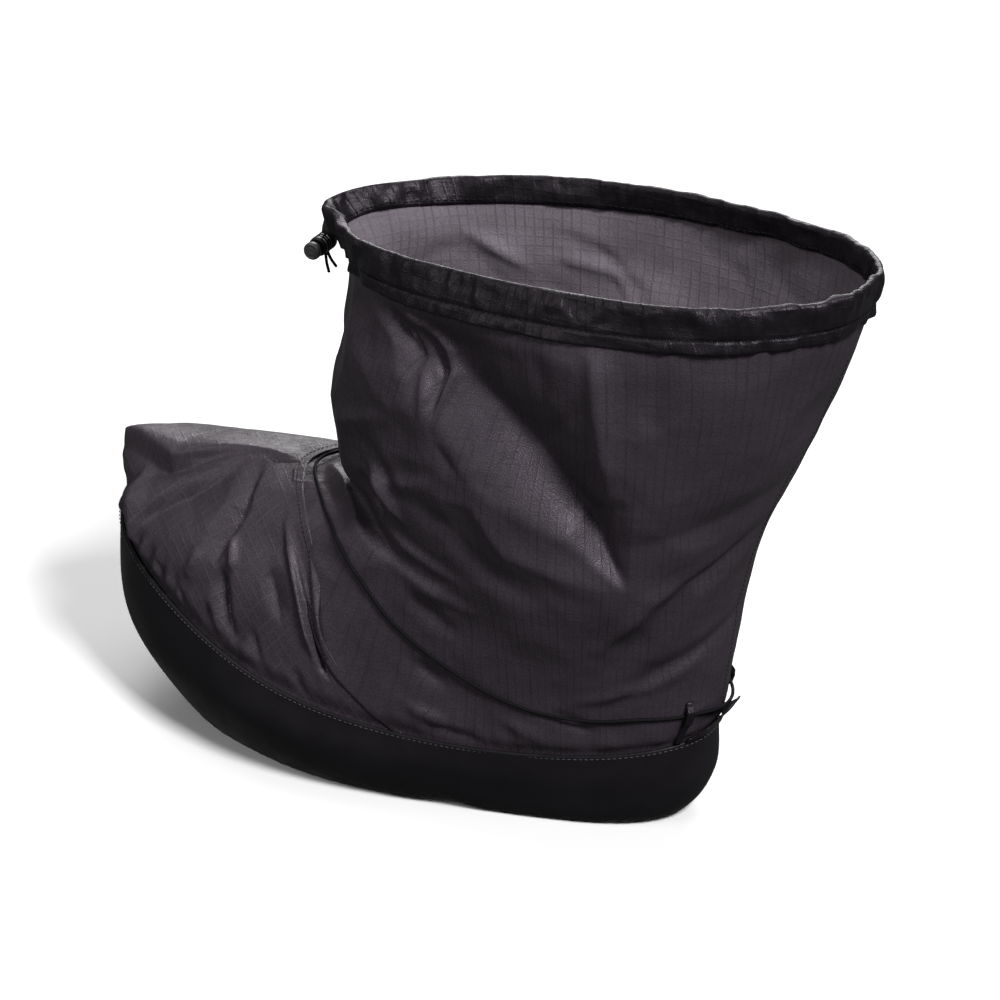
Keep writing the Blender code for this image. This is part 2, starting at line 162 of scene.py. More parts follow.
SECTIONS: dict[Level, Section] = {
    Level.TREAD: Section(105, 0, -95, 0, 28, 36, 34, 2.2, 2.4, 0, 6, 0),
    Level.FLOOR: Section(139, 0, -126, 0, 45, 57, 55, 2.2, 2.4, 0, 8, 0),
    Level.RAND: Section(155, 22, -155, 44, 52, 73, 71, 2.2, 2.4, 8, 12, 0),
    Level.SEAM: Section(156, 48, -158, 94, 54, 69, 68, 2.2, 2.4, 28, 12, 0),
    Level.TOE: Section(160, 64, -157, 118, 54, 61, 59, 2.2, 2.2, 16, 10, 0),
    Level.VAMP: Section(162, 82, -108, 131, 56, 54, 52, 2.1, 2.0, 8, 6, 0),
    Level.THROAT: Section(164, 100, -60, 134, 58, 55, 54, 2.1, 2.0, 3, 2, 0),
    Level.INSTEP: Section(167, 120, -24, 139, 61, 58, 58, 2.1, 2.0, 0, 0, 0),
    Level.ANKLE: Section(176, 153, -35, 163, 64, 61, 61, 2.1, 2.0, 0, 0, -1),
    Level.SHIN: Section(197, 205, -36, 206, 68, 65, 65, 2.1, 2.0, 0, 0, -3),
    Level.CUFF: Section(212, 247, -32, 244, 67, 62, 64, 2.1, 2.0, 0, 0, -6),
    Level.COLLAR: Section(221, 282, -47, 264, 60, 52, 67, 2.2, 1.9, 0, 0, -7),
}


@dataclass(frozen=True)
class Crease:
    """A soft trough or ridge in the cloth, along a line through places on the boot.

    Depth below zero is a trough. Left and right are its half widths, looking from its first place to
    its last from outside the boot.
    """

    line: tuple[Place, ...]
    depth: float
    left: float
    right: float
    taper: Taper = Taper.BOTH


SHAFT_CREASES: tuple[Crease, ...] = (
    # The deep notch of the outer side, the ridges beside it and the facets below it
    Crease(
        ((44, 132, 138), (52, 116, 171), (56, 92, 194), (58, 70, 215), (50, 40, 236)),
        -20.0,
        32,
        50,
        Taper.NOTCH,
    ),
    Crease(((46, 130, 141), (58, 127, 191), (60, 124, 227), (57, 121, 250)), 5.0, 8, 14, Taper.START),
    Crease(((59, 34, 166), (62, 64, 168), (64, 81, 148), (47, 127, 137)), 3.6, 14, 12),
    Crease(((58, 32, 158), (62, 52, 152), (64, 74, 134)), -1.6, 9, 9),
    Crease(((63, 52, 146), (62, 70, 134), (58, 96, 126)), -1.6, 9, 9),
    # The front of the shaft, hollowed above the instep and full at it
    Crease(((-32, -26, 214), (0, -38, 214), (32, -22, 214)), -5.0, 40, 36),
    Crease(((-34, -14, 150), (-4, -30, 150), (36, -8, 150)), 5.0, 13, 18),
    # The crescent at the front of the shaft
    Crease(((42, 12, 248), (46, 24, 236), (49, 34, 225)), -5.0, 3.5, 7),
    Crease(
        ((44, 19, 245), (49, 33, 243), (53, 44, 235), (53, 48, 225), (55, 46, 213), (58, 43, 200)),
        4.6,
        3.5,
        4,
    ),
    Crease(((50, 37, 233), (53, 43, 222), (56, 41, 206)), -3.6, 3, 3),
    Crease(((49, 34, 227), (54, 37, 213), (57, 39, 199)), 3.0, 3, 5),
    Crease(((56, 40, 200), (59, 46, 190), (61, 57, 180)), -2.6, 8, 9),
    # Small folds where the instep meets the shaft
    Crease(((2, -41, 135), (18, -24, 137), (46, 3, 128)), 3.6, 5, 8),
    Crease(((24, -26, 146), (52, 22, 126)), -3.6, 6, 7),
    Crease(((47, 4, 168), (50, 12, 160), (54, 24, 147)), 3.6, 5, 6),
    Crease(((42, -4, 161), (45, 12, 138)), -4.0, 5, 5),
    Crease(((40, 0, 146), (54, 24, 134), (62, 56, 124)), 2.4, 5, 6),
    Crease(((44, 6, 160), (60, 44, 172)), 2.4, 6, 8),
    Crease(((40, 0, 180), (56, 26, 158)), -2.8, 7, 7),
    Crease(((30, -20, 176), (50, 14, 196)), 2.0, 7, 7),
    Crease(((56, 26, 112), (60, 52, 96)), -2.4, 7, 7),
    Crease(((54, 20, 122), (62, 60, 110)), 1.8, 5, 6),
    # Folds that fan from the heel
    Crease(((2, 180, 162), (32, 154, 138), (40, 126, 93)), -3.8, 10, 12),
    Crease(((14, 174, 164), (40, 142, 130), (46, 118, 100)), 2.6, 6, 7),
    Crease(((0, 166, 114), (29, 142, 90), (38, 123, 69)), -3.4, 8, 9),
    Crease(((10, 164, 104), (34, 138, 80), (46, 104, 68)), 2.2, 5, 6),
    Crease(((-2, 186, 190), (30, 168, 172), (52, 130, 158)), -2.0, 12, 12),
    # Folds just above the rand
    Crease(((56, 31, 78), (55, 47, 68)), -2.8, 6, 6),
    Crease(((60, 34, 47), (54, 64, 42)), -3.4, 4, 5),
    Crease(((60, 28, 56), (58, 48, 50)), 2.2, 4, 5),
    Crease(((52, 72, 56), (48, 92, 48)), 1.8, 5, 5),
    Crease(((47, 96, 62), (40, 116, 54)), -2.0, 5, 5),
    # Under the collar
    Crease(((50, 150, 256), (56, 146, 218)), -2.0, 10, 9),
    Crease(((58, 92, 250), (62, 96, 222)), -1.8, 8, 8),
    Crease(((6, -36, 240), (10, -38, 204)), -1.2, 8, 8),
    # The inner side, finished plainly with the same kind of folds
    Crease(((-54, 128, 146), (-66, 84, 206)), -4.0, 30, 22, Taper.START),
    Crease(((-46, 0, 246), (-60, 30, 226)), -2.4, 5, 6),
    Crease(((-58, 22, 250), (-67, 60, 240), (-68, 84, 222)), 2.0, 5, 5),
    Crease(((-64, 40, 232), (-68, 84, 228)), -1.6, 5, 6),
    Crease(((-66, 146, 258), (-68, 120, 222)), 1.6, 9, 8),
    Crease(((-48, 8, 164), (-62, 46, 172)), 2.4, 8, 7),
    Crease(((-30, -22, 146), (-54, 24, 126)), -3.0, 7, 7),
    Crease(((-12, 178, 164), (-42, 128, 98)), -3.0, 11, 9),
    Crease(((-60, 34, 50), (-54, 66, 44)), -2.4, 5, 4),
)

VAMP_CREASES: tuple[Crease, ...] = (
    # Ridge along the middle of the toe, the hollow below it and the corner of the toe
    Crease(((-7, -156, 118), (13, -119, 125), (9, -94, 131), (6, -74, 133)), 7.0, 22, 7, Taper.EVEN),
    Crease(((8, -84, 132), (18, -120, 121), (12, -150, 104)), -8.0, 12, 22, Taper.START),
    Crease(((14, -112, 127), (9, -92, 131), (6, -76, 133), (3, -61, 134)), -3.4, 3, 4),
    Crease(((18, -138, 116), (35, -129, 88)), 4.0, 10, 7, Taper.EVEN),
    # Folds that fan from the ridge's upper end
    Crease(((14, -72, 132), (33, -70, 120), (48, -78, 97)), -6.0, 3.5, 12),
    Crease(((16, -82, 131), (28, -103, 119), (36, -128, 100)), -5.0, 18, 7),
    Crease(((40, -72, 110), (43, -70, 106), (50, -67, 95)), 3.4, 4, 4),
    Crease(((49, -74, 96), (51, -72, 91), (57, -67, 75), (59, -62, 68)), -6.0, 5, 7),
    Crease(((42, -88, 100), (48, -92, 84)), 2.4, 6, 5),
    # Pleats in front of the shaft
    Crease(((36, -44, 120), (51, -29, 95), (60, -16, 65)), 4.6, 5, 4),
    Crease(((40, -38, 116), (53, -24, 90), (60, -13, 64)), -5.0, 3, 3, Taper.START),
    Crease(((44, -26, 110), (49, -22, 100), (58, -12, 70)), 2.2, 3, 4),
    Crease(((48, -48, 102), (57, -38, 82)), -3.0, 8, 6),
    # Puckers above the rand
    Crease(((42, -113, 88), (47, -107, 74)), -2.2, 3, 3),
    Crease(((30, -134, 98), (34, -134, 86)), -2.0, 3, 3),
    Crease(((51, -98, 80), (54, -92, 68)), -2.4, 3.5, 3),
    Crease(((56, -80, 78), (60, -72, 62)), -2.4, 3.5, 4),
    Crease(((60, -52, 74), (64, -44, 54)), -2.4, 4, 4),
    Crease(((62, -28, 62), (66, -20, 46)), -2.0, 4, 4),
    # The inner side
    Crease(((-20, -72, 130), (-50, -86, 88)), 3.4, 5, 8, Taper.START),
    Crease(((-44, -38, 107), (-58, -18, 70)), -3.4, 6, 5),
    Crease(((-26, -98, 120), (-44, -120, 92)), -2.6, 7, 7),
)


def eased(part: np.ndarray) -> np.ndarray:
    """Smooth step from 0 to 1."""
    part = np.clip(part, 0.0, 1.0)
    return part * part * (3.0 - 2.0 * part)


def between_knots(
    before: np.ndarray, start: np.ndarray, end: np.ndarray, after: np.ndarray, part: np.ndarray
) -> np.ndarray:
    """Points on a smooth curve from one knot to the next.

    Args:
        before: the knot before the first.
        start: the first knot.
        end: the second knot.
        after: the knot after the second.
        part: shares of the way from the first to the second.

    Returns:
        The points.
    """
    linear = (end - before) / 2.0
    square = before - 2.5 * start + 2.0 * end - 0.5 * after
    cube = 1.5 * (start - end) + 0.5 * (after - before)
    return start + part * (linear + part * (square + part * cube))


def length_along(path: np.ndarray) -> np.ndarray:
    """Length of a path up to each of its points."""
    return np.concatenate(((0.0,), np.cumsum(np.linalg.norm(np.diff(path, axis=0), axis=1))))


def smooth_path(knots: np.ndarray, count: int) -> np.ndarray:
    """Evenly spaced points on a smooth curve through given knots.

    Args:
        knots: places that the curve passes through.
        count: number of points wanted.

    Returns:
        The points, from the first knot to the last.
    """
    padded = np.vstack((2.0 * knots[:1] - knots[1:2], knots, 2.0 * knots[-1:] - knots[-2:-1]))
    part = np.linspace(0.0, 1.0, KNOT_STEPS, endpoint=False)[:, None]
    neighbours = zip(padded, padded[1:], padded[2:], padded[3:])
    fine = np.vstack((*(between_knots(*four, part) for four in neighbours), knots[-1:]))
    length = length_along(fine)
    wanted = np.linspace(0.0, length[-1], count)
    return np.stack([np.interp(wanted, length, fine[:, axis]) for axis in range(3)], axis=1)


def through_stops(at: np.ndarray, stops: tuple[Pair, ...]) -> np.ndarray:
    """Value on a smooth curve through a few stops.

    Args:
        at: where the curve is read.
        stops: pairs of place and value, in rising order of place.

    Returns:
        The curve's values, flat at both ends.
    """
    table = np.array(stops, dtype=float)
    index = np.clip(np.searchsorted(table[:, 0], at, side="right") - 1, 0, len(table) - 2)
    run = table[index + 1, 0] - table[index, 0]
    rise = table[index + 1, 1] - table[index, 1]
    part = (at - table[index, 0]) / run
    slopes = np.gradient(table[:, 1], table[:, 0])
    slopes[0] = slopes[-1] = 0.0
    bend_in = slopes[index] * run - rise
    bend_out = rise - slopes[index + 1] * run
    straight = table[index, 1] + part * rise
    return straight + part * (1.0 - part) * (bend_in * (1.0 - part) + bend_out * part)


def waves(points: np.ndarray, length: float, seed: int, count: int = 18) -> np.ndarray:
    """A soft random field, the sum of plane waves in fixed random directions.

    Args:
        points: places in millimetres, along the last axis.
        length: typical wave length in millimetres.
        seed: start of the random draws.
        count: number of waves.

    Returns:
        Values about zero, mostly between -1 and 1.
    """
    draw = np.random.default_rng(seed)
    heading = draw.normal(size=(count, 3))
    heading /= np.linalg.norm(heading, axis=1, keepdims=True)
    lengths = length * draw.uniform(*WAVE_SPREAD, count)
    phase = draw.uniform(0.0, FULL_TURN, count)
    field = np.zeros(points.shape[:-1])
    for way, one_length, start in zip(heading, lengths, phase):
        field += np.cos(points @ way * (FULL_TURN / one_length) + start)
    return field / math.sqrt(count)


def folds(points: np.ndarray, length: float, seed: int) -> np.ndarray:
    """A random field with sharp crests, from the soft one."""
    return 0.5 - np.abs(waves(points, length, seed))


@dataclass(frozen=True)
class BootForm:
    """The boot's surface, worked out from its section table as the solids' surface is."""

    ball_from: float = 0.15
    ball_over: float = 0.55
    waist_depth: float = 6.0
    waist_at: float = 0.42
    waist_reach: float = 0.16
    waist_toe_in: float = 12.0
    spring: float = 12.0
    spring_from: float = -82.0
    spring_over: float = 70.0
    arch: float = 2.0
    arch_at: float = 44.0
    arch_reach: float = 20.0
    slope_step: float = 1e-3
    crease_softness: float = 0.05
    crease_power: float = 1.35
    line_stray: float = 6.0
    pinch: float = 6.0
    pinch_from: float = 9.2
    pinch_over: float = 1.5
    pinch_aside: float = 0.42
    pinch_reach: float = 0.24

    def section_at(self, level: np.ndarray) -> np.ndarray:
        """Columns of the section table at levels between its rows, on a smooth curve through the rows.

        Args:
            level: the levels.

        Returns:
            The columns, along a new last axis.
        """
        table = np.array([list(vars(row).values()) for row in SECTIONS.values()], dtype=float)
        index = np.clip(np.floor(level).astype(int), 0, len(table) - 2)
        part = (level - index)[..., None]
        last = len(table) - 1
        rows = [table[np.clip(index + step, 0, last)] for step in (-1, 0, 1, 2)]
        return between_knots(*rows, part)

    def underside(self, y: np.ndarray) -> np.ndarray:
        """Height of the sole's underside above the floor.

        Args:
            y: places along the boot.

        Returns:
            The heights there.
        """
        spring = self.spring * eased((self.spring_from - y) / self.spring_over)
        arch = self.arch * eased(1.0 - np.abs(y - self.arch_at) / self.arch_reach)
        return spring + arch

    def plain(self, level: np.ndarray, turn: np.ndarray) -> np.ndarray:
        """Points of the boot before its creases.

        Args:
            level: their levels.
            turn: their turns.

        Returns:
            Places in millimetres, along a new last axis.
        """
        columns = np.moveaxis(self.section_at(level), -1, 0)
        back_y, back_z, front_y, front_z, rear, outer, inner = columns[:7]
        round_back, round_front, dip, toe_in, lean = columns[7:]
        cosine = np.cos(turn)
        sine = np.sin(turn)
        power = 2.0 / np.where(cosine > 0, round_back, round_front)
        along = (1.0 - np.sign(cosine) * np.abs(cosine) ** power) / 2.0
        across = np.abs(sine) ** power
        ball = eased((along - self.ball_from) / self.ball_over)
        hollow = np.exp(-(((along - self.waist_at) / self.waist_reach) ** 2))
        waist = self.waist_depth * hollow * eased(toe_in / self.waist_toe_in)
        half = np.where(sine >= 0, rear + (outer - rear) * ball, waist - rear - (inner - rear) * ball)
        x = half * across + lean - toe_in * eased(2.0 * along - 1.0)
        y = back_y + (front_y - back_y) * along
        z = back_z + (front_z - back_z) * along - 4.0 * dip * along * (1.0 - along)
        lifted = self.underside(y) * eased(Level.RAND - level)
        return np.stack((x, y, z + lifted), axis=-1)

    def normals(self, level: np.ndarray, turn: np.ndarray) -> np.ndarray:
        """Outward unit normals of the boot before its creases.

        Args:
            level: levels of the points.
            turn: their turns.

        Returns:
            The normals, along a new last axis.
        """
        step = self.slope_step
        sideways = self.plain(level, turn + step) - self.plain(level, turn - step)
        upward = self.plain(level + step, turn) - self.plain(level - step, turn)
        outward = np.cross(upward, sideways)
        return outward / np.linalg.norm(outward, axis=-1, keepdims=True)

    def skin(self, level: np.ndarray, turn: np.ndarray, proud: np.ndarray | float = 0.0) -> np.ndarray:
        """Points at a height proud of the boot before its creases.

        Args:
            level: their levels.
            turn: their turns.
            proud: their heights.

        Returns:
            Places in millimetres, along a new last axis.
        """
        level, turn = np.broadcast_arrays(np.asarray(level, dtype=float), np.asarray(turn, dtype=float))
        height = np.broadcast_to(np.asarray(proud, dtype=float), level.shape)
        return self.plain(level, turn) + self.normals(level, turn) * height[..., None]

    def below_rim(self, drop: np.ndarray | float, turn: np.ndarray) -> np.ndarray:
        """Level of the points that lie a distance below the collar's rim.

        Args:
            drop: the distance, measured down the upper.
            turn: turns of the points.

        Returns:
            Their levels.
        """
        turn = np.asarray(turn, dtype=float)
        rim = np.full(turn.shape, float(Level.COLLAR))
        run = np.linalg.norm(self.plain(rim, turn) - self.plain(rim - 1.0, turn), axis=-1)
        return Level.COLLAR - drop / run

    def pinched(self, level: np.ndarray, turn: np.ndarray) -> np.ndarray:
        """How far the drawcord pulls the collar in on both sides of its front, below zero."""
        aside = (np.abs(turn - math.pi) - self.pinch_aside) / self.pinch_reach
        return -self.pinch * np.exp(-(aside**2)) * eased((level - self.pinch_from) / self.pinch_over)

    def even_levels(self, low: np.ndarray, high: np.ndarray, turn: np.ndarray, rows: int) -> np.ndarray:
        """Levels that cut each column of a panel into rows of even height.

        Args:
            low: level of the panel's lower edge in each column.
            high: level of its upper edge in each column.
            turn: turn of each column.
            rows: number of rows.

        Returns:
            Levels by row and column.
        """
        share = np.linspace(0.0, 1.0, ROW_STEPS * rows)[:, None]
        fine = low + (high - low) * share
        points = self.plain(fine, np.broadcast_to(turn, fine.shape))
        steps = np.linalg.norm(np.diff(points, axis=0), axis=-1)
        length = np.vstack((np.zeros(len(turn)), np.cumsum(steps, axis=0)))
        wanted = np.linspace(0.0, 1.0, rows)
        columns = [
            np.interp(wanted * length[-1, column], length[:, column], fine[:, column])
            for column in range(len(turn))
        ]
        return np.stack(columns, axis=1)

    def crease_heights(
        self, points: np.ndarray, outward: np.ndarray, creases: tuple[Crease, ...]
    ) -> np.ndarray:
        """How far the creases lift the cloth.

        Args:
            points: places on the boot before its creases.
            outward: unit normals there.
            creases: the panel's creases.

        Returns:
            Heights in millimetres, below zero in a trough.
        """
        height = np.zeros(points.shape[:-1])
        for crease in creases:
            away, share, on_left = self.beside(points, outward, np.array(crease.line, dtype=float))
            shares, depths, widths = np.array(crease.taper.value).T
            width = np.where(on_left, crease.left, crease.right) * np.interp(share, shares, widths)
            part = np.sqrt((away / width) ** 2 + self.crease_softness**2) - self.crease_softness
            bank = np.clip(1.0 - part, 0.0, 1.0) ** self.crease_power
            height += crease.depth * np.interp(share, shares, depths) * bank
        return height

    def beside(
        self, points: np.ndarray, outward: np.ndarray, line: np.ndarray
    ) -> tuple[np.ndarray, np.ndarray, np.ndarray]:
        """Where points lie beside a line.

        Args:
            points: places on the boot before its creases.
            outward: unit normals there.
            line: places along the line.

        Returns:
            Distance from the line along the surface, share of the line's length, and whether the point
            lies left of it.
        """
        lengths = np.linalg.norm(np.diff(line, axis=0), axis=1)
        passed = np.concatenate(((0.0,), np.cumsum(lengths)))
        nearest = np.full(points.shape[:-1], np.inf)
        share = np.zeros(points.shape[:-1])
        on_left = np.zeros(points.shape[:-1], dtype=bool)
        for start, end, length, before in zip(line[:-1], line[1:], lengths, passed):
            run = (end - start) / length
            offset = points - start
            along = np.clip(offset @ run, 0.0, length)
            offset = offset - along[..., None] * run
            lift = np.einsum("...k,...k", offset, outward)
            stray = np.maximum(np.abs(lift) - self.line_stray, 0.0)
            away = np.hypot(np.linalg.norm(offset - lift[..., None] * outward, axis=-1), stray)
            closer = away < nearest
            nearest = np.where(closer, away, nearest)
            share = np.where(closer, (before + along) / passed[-1], share)
            side = np.einsum("...k,...k", offset, np.cross(outward, run)) > 0.0
            on_left = np.where(closer, side, on_left)
        return nearest, share, on_left


FORM = BootForm()


class Nodes:
    """Short calls for building one node tree."""

    def __init__(self, tree: bpy.types.NodeTree) -> None:
        """Keep the tree that the calls add to."""
        self.tree = tree

    def join(self, source: object, target: bpy.types.NodeSocket) -> None:
        """Link a socket to a target, or set the target to a value.

        Args:
            source: a socket, or a value.
            target: the input that takes it.
        """
        if isinstance(source, bpy.types.NodeSocket):
            self.tree.links.new(source, target)
        else:
            target.default_value = source

    def node(self, kind: str, **values: object) -> bpy.types.Node:
        """Add a node and set its sockets and properties.

        Args:
            kind: Blender's name for the node type.
            values: inputs by name, with underscores for spaces, or properties of the node.

        Returns:
            The new node.
        """
        made = self.tree.nodes.new(kind)
        for name, value in values.items():
            label = name.replace("_", " ")
            if label in made.inputs:
                self.join(value, made.inputs[label])
            else:
                setattr(made, name, value)
        return made

    def math(self, operation: str, *terms: bpy.types.NodeSocket | float) -> bpy.types.NodeSocket:
        """Result of a math node.

        Args:
            operation: Blender's name for the operation.
            terms: sockets or numbers.

        Returns:
            The socket of the result.
        """
        made = self.node("ShaderNodeMath", operation=operation)
        for term, target in zip(terms, made.inputs):
            self.join(term, target)
        return made.outputs[0]


class Painter(Nodes):
    """Short calls for building one material."""

    def __init__(self, name: str) -> None:
        """Start a material with its Principled shader.

        Args:
            name: the material's name.
        """
        self.material = bpy.data.materials.new(name)
        self.material.use_nodes = True
        super().__init__(self.material.node_tree)
        self.shader = self.tree.nodes["Principled BSDF"]

    def give(self, **values: object) -> None:
        """Link or set the shader's inputs, by name with underscores for spaces."""
        for name, value in values.items():
            self.join(value, self.shader.inputs[name.replace("_", " ")])

    def weave(self) -> tuple[bpy.types.NodeSocket, bpy.types.NodeSocket]:
        """The two cloth coordinates of the piece's weave map.

        Returns:
            The sockets of the two coordinates.
        """
        place = self.node("ShaderNodeUVMap", uv_map=WEAVE).outputs["UV"]
        split = self.node("ShaderNodeSeparateXYZ", Vector=place)
        return split.outputs["X"], split.outputs["Y"]

    def ramp(
        self, value: bpy.types.NodeSocket, low: float, high: float, first: float, last: float
    ) -> bpy.types.NodeSocket:
        """A value eased from one range into another.

        Args:
            value: the socket that is read.
            low: start of the range that is read.
            high: its end.
            first: the result at the start.
            last: the result at the end.

        Returns:
            The socket of the result.
        """
        made = self.node("ShaderNodeMapRange", interpolation_type="SMOOTHSTEP", Value=value)
        for name, number in (("From Min", low), ("From Max", high), ("To Min", first), ("To Max", last)):
            made.inputs[name].default_value = number
        return made.outputs["Result"]

    def blend(
        self, share: bpy.types.NodeSocket, first: bpy.types.NodeSocket | Colour, second: Colour
    ) -> bpy.types.NodeSocket:
        """A colour between two.

        Args:
            share: share of the second colour.
            first: the first colour, or a socket that gives it.
            second: the second colour.

        Returns:
            The socket of the mixed colour.
        """
        made = self.node("ShaderNodeMix", data_type="RGBA")
        self.join(share, made.inputs[MIX_SHARE])
        plain = first if isinstance(first, bpy.types.NodeSocket) else (*first, 1.0)
        self.join(plain, made.inputs[MIX_FIRST])
        self.join((*second, 1.0), made.inputs[MIX_SECOND])
        return made.outputs[MIX_RESULT]

    def shade(self, share: bpy.types.NodeSocket, colour: Colour, tints: Pair) -> bpy.types.NodeSocket:
        """A colour between its darker and its lighter tint."""
        return self.blend(share, *(tinted(colour, tint) for tint in tints))

    def noise(self, scale: float, detail: float = 2.0) -> bpy.types.NodeSocket:
        """Noise over the piece's own coordinates in metres."""
        place = self.node("ShaderNodeTexCoord").outputs["Object"]
        return self.node("ShaderNodeTexNoise", Vector=place, Scale=scale, Detail=detail).outputs["Fac"]

    def uneven(self, marks: bpy.types.NodeSocket, span: Pair, roughness: float, spread: Pair) -> None:
        """Let the roughness wander about its value.

        Args:
            marks: the socket that it follows.
            span: range of the socket that counts.
            roughness: the middle value.
            spread: how far it goes below and above, the first below zero.
        """
        low, high = (roughness + part for part in spread)
        self.give(Roughness=self.ramp(marks, *span, low, high))

    def bump(self, height: bpy.types.NodeSocket, strength: float, depth: float) -> None:
        """Bump from a height, with a depth in millimetres."""
        made = self.node("ShaderNodeBump", Height=height, Strength=strength, Distance=depth * METRES)
        self.give(Normal=made.outputs["Normal"])


def tinted(colour: Colour, factor: float) -> Colour:
    """A colour made lighter or darker."""
    return tuple(channel * factor for channel in colour)


class Finish(ABC):
    """What a piece is dressed in."""

    name: str

    def material(self) -> bpy.types.Material:
        """Build the finish.

        Returns:
            The new material.
        """
        paint = Painter(self.name)
        self.dress(paint)
        return paint.material

    @abstractmethod
    def dress(self, paint: Painter) -> None:
        """Draw the finish into a new material."""


@dataclass(frozen=True)
class Ripstop(Finish):
    """Thin cloth with a grid of thicker yarns, drawn on the piece's weave map in metres."""

    name: str
    colour: Colour
    yarn: Colour
    roughness: float
    yarn_strength: Pair = (0.42, 0.14)
    shine: float = 0.3
    sheen: Colour = (1.0, 0.88, 1.0)
    cell: float = 4.4
    yarn_edge: float = 0.2
    line_length: float = 0.16
    line_scale: float = 0.83
    tints: Pair = (0.7, 1.3)
    gloss: Pair = (-0.05, 0.08)

    # How the noise breaks up the yarns, mottles the colour and grains it
    broken: Span = (0.34, 0.66, 0.25, 1.0)
    mottled: Span = (*NOISE_SPAN, 0.0, 0.4)
    grained: Span = (*NOISE_SPAN, 0.0, 0.6)

    # Scales per metre
    mottle: float = 24.0
    grain: float = 1500.0
    gloss_scale: float = 300.0

    # Heights in millimetres
    yarn_relief: float = 0.3
    grain_relief: float = 0.12

    # Scale per metre and depth in millimetres of the sharp little folds
    crinkles: tuple[Pair, ...] = ((40.0, 0.8), (95.0, 0.25))

    def dress(self, paint: Painter) -> None:
        """Draw the yarns, the mottled colour, the gloss and the little folds.

        Args:
            paint: the new material.
        """
        per_metre = 1.0 / (self.cell * METRES)
        cells = [paint.math("MULTIPLY", part, per_metre) for part in paint.weave()]
        lines = []
        for own, other, strength in zip(cells, reversed(cells), self.yarn_strength):
            away = paint.math("PINGPONG", own, 0.5)
            line = paint.ramp(away, 0.0, self.yarn_edge, strength, 0.0)
            slow = paint.math("MULTIPLY", other, self.line_length)
            place = paint.node("ShaderNodeCombineXYZ", X=own, Y=slow).outputs["Vector"]
            noise = paint.node("ShaderNodeTexNoise", Vector=place, Scale=self.line_scale, Detail=2.0)
            patches = paint.ramp(noise.outputs["Fac"], *self.broken)
            lines.append(paint.math("MULTIPLY", line, patches))
        grid = paint.math("MAXIMUM", *lines)

        mottle = paint.ramp(paint.noise(self.mottle, detail=4.0), *self.mottled)
        grain = paint.ramp(paint.noise(self.grain), *self.grained)
        base = paint.shade(paint.math("ADD", mottle, grain), self.colour, self.tints)
        paint.give(
            Base_Color=paint.blend(grid, base, self.yarn),
            Specular_IOR_Level=self.shine,
            Specular_Tint=(*self.sheen, 1.0),
        )
        paint.uneven(paint.noise(self.gloss_scale), NOISE_SPAN, self.roughness, self.gloss)

        yarns = paint.math("MULTIPLY", grid, self.yarn_relief)
        relief = paint.math("ADD", yarns, paint.math("MULTIPLY", grain, self.grain_relief))
        for scale, depth in self.crinkles:
            fold = paint.math("ABSOLUTE", paint.math("SUBTRACT", paint.noise(scale), 0.5))
            relief = paint.math("MULTIPLY_ADD", fold, depth, relief)
        paint.bump(relief, strength=1.0, depth=1.0)


@dataclass(frozen=True)
class CoatedCloth(Finish):
    """Coated sole cloth: pebbles underneath with a painted highlight on their tops, and a fine grain on
    the rand, by the pebble attribute.
    """

    name: str
    colour: Colour
    tops: Colour
    roughness: float
    pebble: float = 2.4
    shine: float = 0.16
    gloss: Pair = (-0.06, 0.08)
    relief: Pair = (0.6, 0.5)

    # How a pebble rounds off, how much the rand keeps, worn patches, and the painted highlight on tops
    rounded: Span = (0.1, 0.75, 1.0, 0.0)
    kept: Span = (0.0, 1.0, 0.12, 1.0)
    wear_and_highlight: Span = (0.35, 0.75, 0.0, 0.25)
    top_highlight: float = 0.6

    # Scales per metre, and the fine grain's share of the height
    wear: float = 30.0
    gloss_scale: float = 60.0
    grain: float = 1400.0
    grain_share: float = 0.18

    def dress(self, paint: Painter) -> None:
        """Draw the pebbles, the fine grain, the wear and the painted highlight on the pebbles' tops.

        Args:
            paint: the new material.
        """
        mask = paint.node("ShaderNodeAttribute", attribute_name=PEBBLE).outputs["Fac"]
        place = paint.node("ShaderNodeTexCoord").outputs["Object"]
        scale = 1.0 / (self.pebble * METRES)
        cells = paint.node("ShaderNodeTexVoronoi", Vector=place, Scale=scale, feature="SMOOTH_F1")
        dome = paint.ramp(cells.outputs["Distance"], *self.rounded)
        pebbles = paint.math("MULTIPLY", dome, paint.ramp(mask, *self.kept))
        grain = paint.math("MULTIPLY", paint.noise(self.grain), self.grain_share)
        # Painted highlight: each pebble's top is coloured lighter, towards tops, on the underside; the
        # noise adds real worn patches.
        share = paint.math("MULTIPLY", paint.math("MULTIPLY", dome, mask), self.top_highlight)
        wear_and_highlight = paint.math("ADD", share, paint.ramp(paint.noise(self.wear, detail=4.0), *self.wear_and_highlight))
        paint.give(Base_Color=paint.blend(wear_and_highlight, self.colour, self.tops), Specular_IOR_Level=self.shine)
        paint.uneven(paint.noise(self.gloss_scale, detail=3.0), NOISE_SPAN, self.roughness, self.gloss)
        paint.bump(paint.math("ADD", pebbles, grain), *self.relief)


@dataclass(frozen=True)
class Thread(Finish):
    """Sewing thread with a fine twist."""

    name: str
    colour: Colour
    roughness: float = 0.65
    shine: float = 0.15
    tints: Pair = (0.75, 1.25)
    relief: Pair = (0.4, 0.1)
    twist: float = 2600.0

    def dress(self, paint: Painter) -> None:
        """Draw the twist.

        Args:
            paint: the new material.
        """
        twist = paint.noise(self.twist, detail=1.0)
        base = paint.shade(twist, self.colour, self.tints)
        paint.give(Base_Color=base, Roughness=self.roughness, Specular_IOR_Level=self.shine)
        paint.bump(twist, *self.relief)


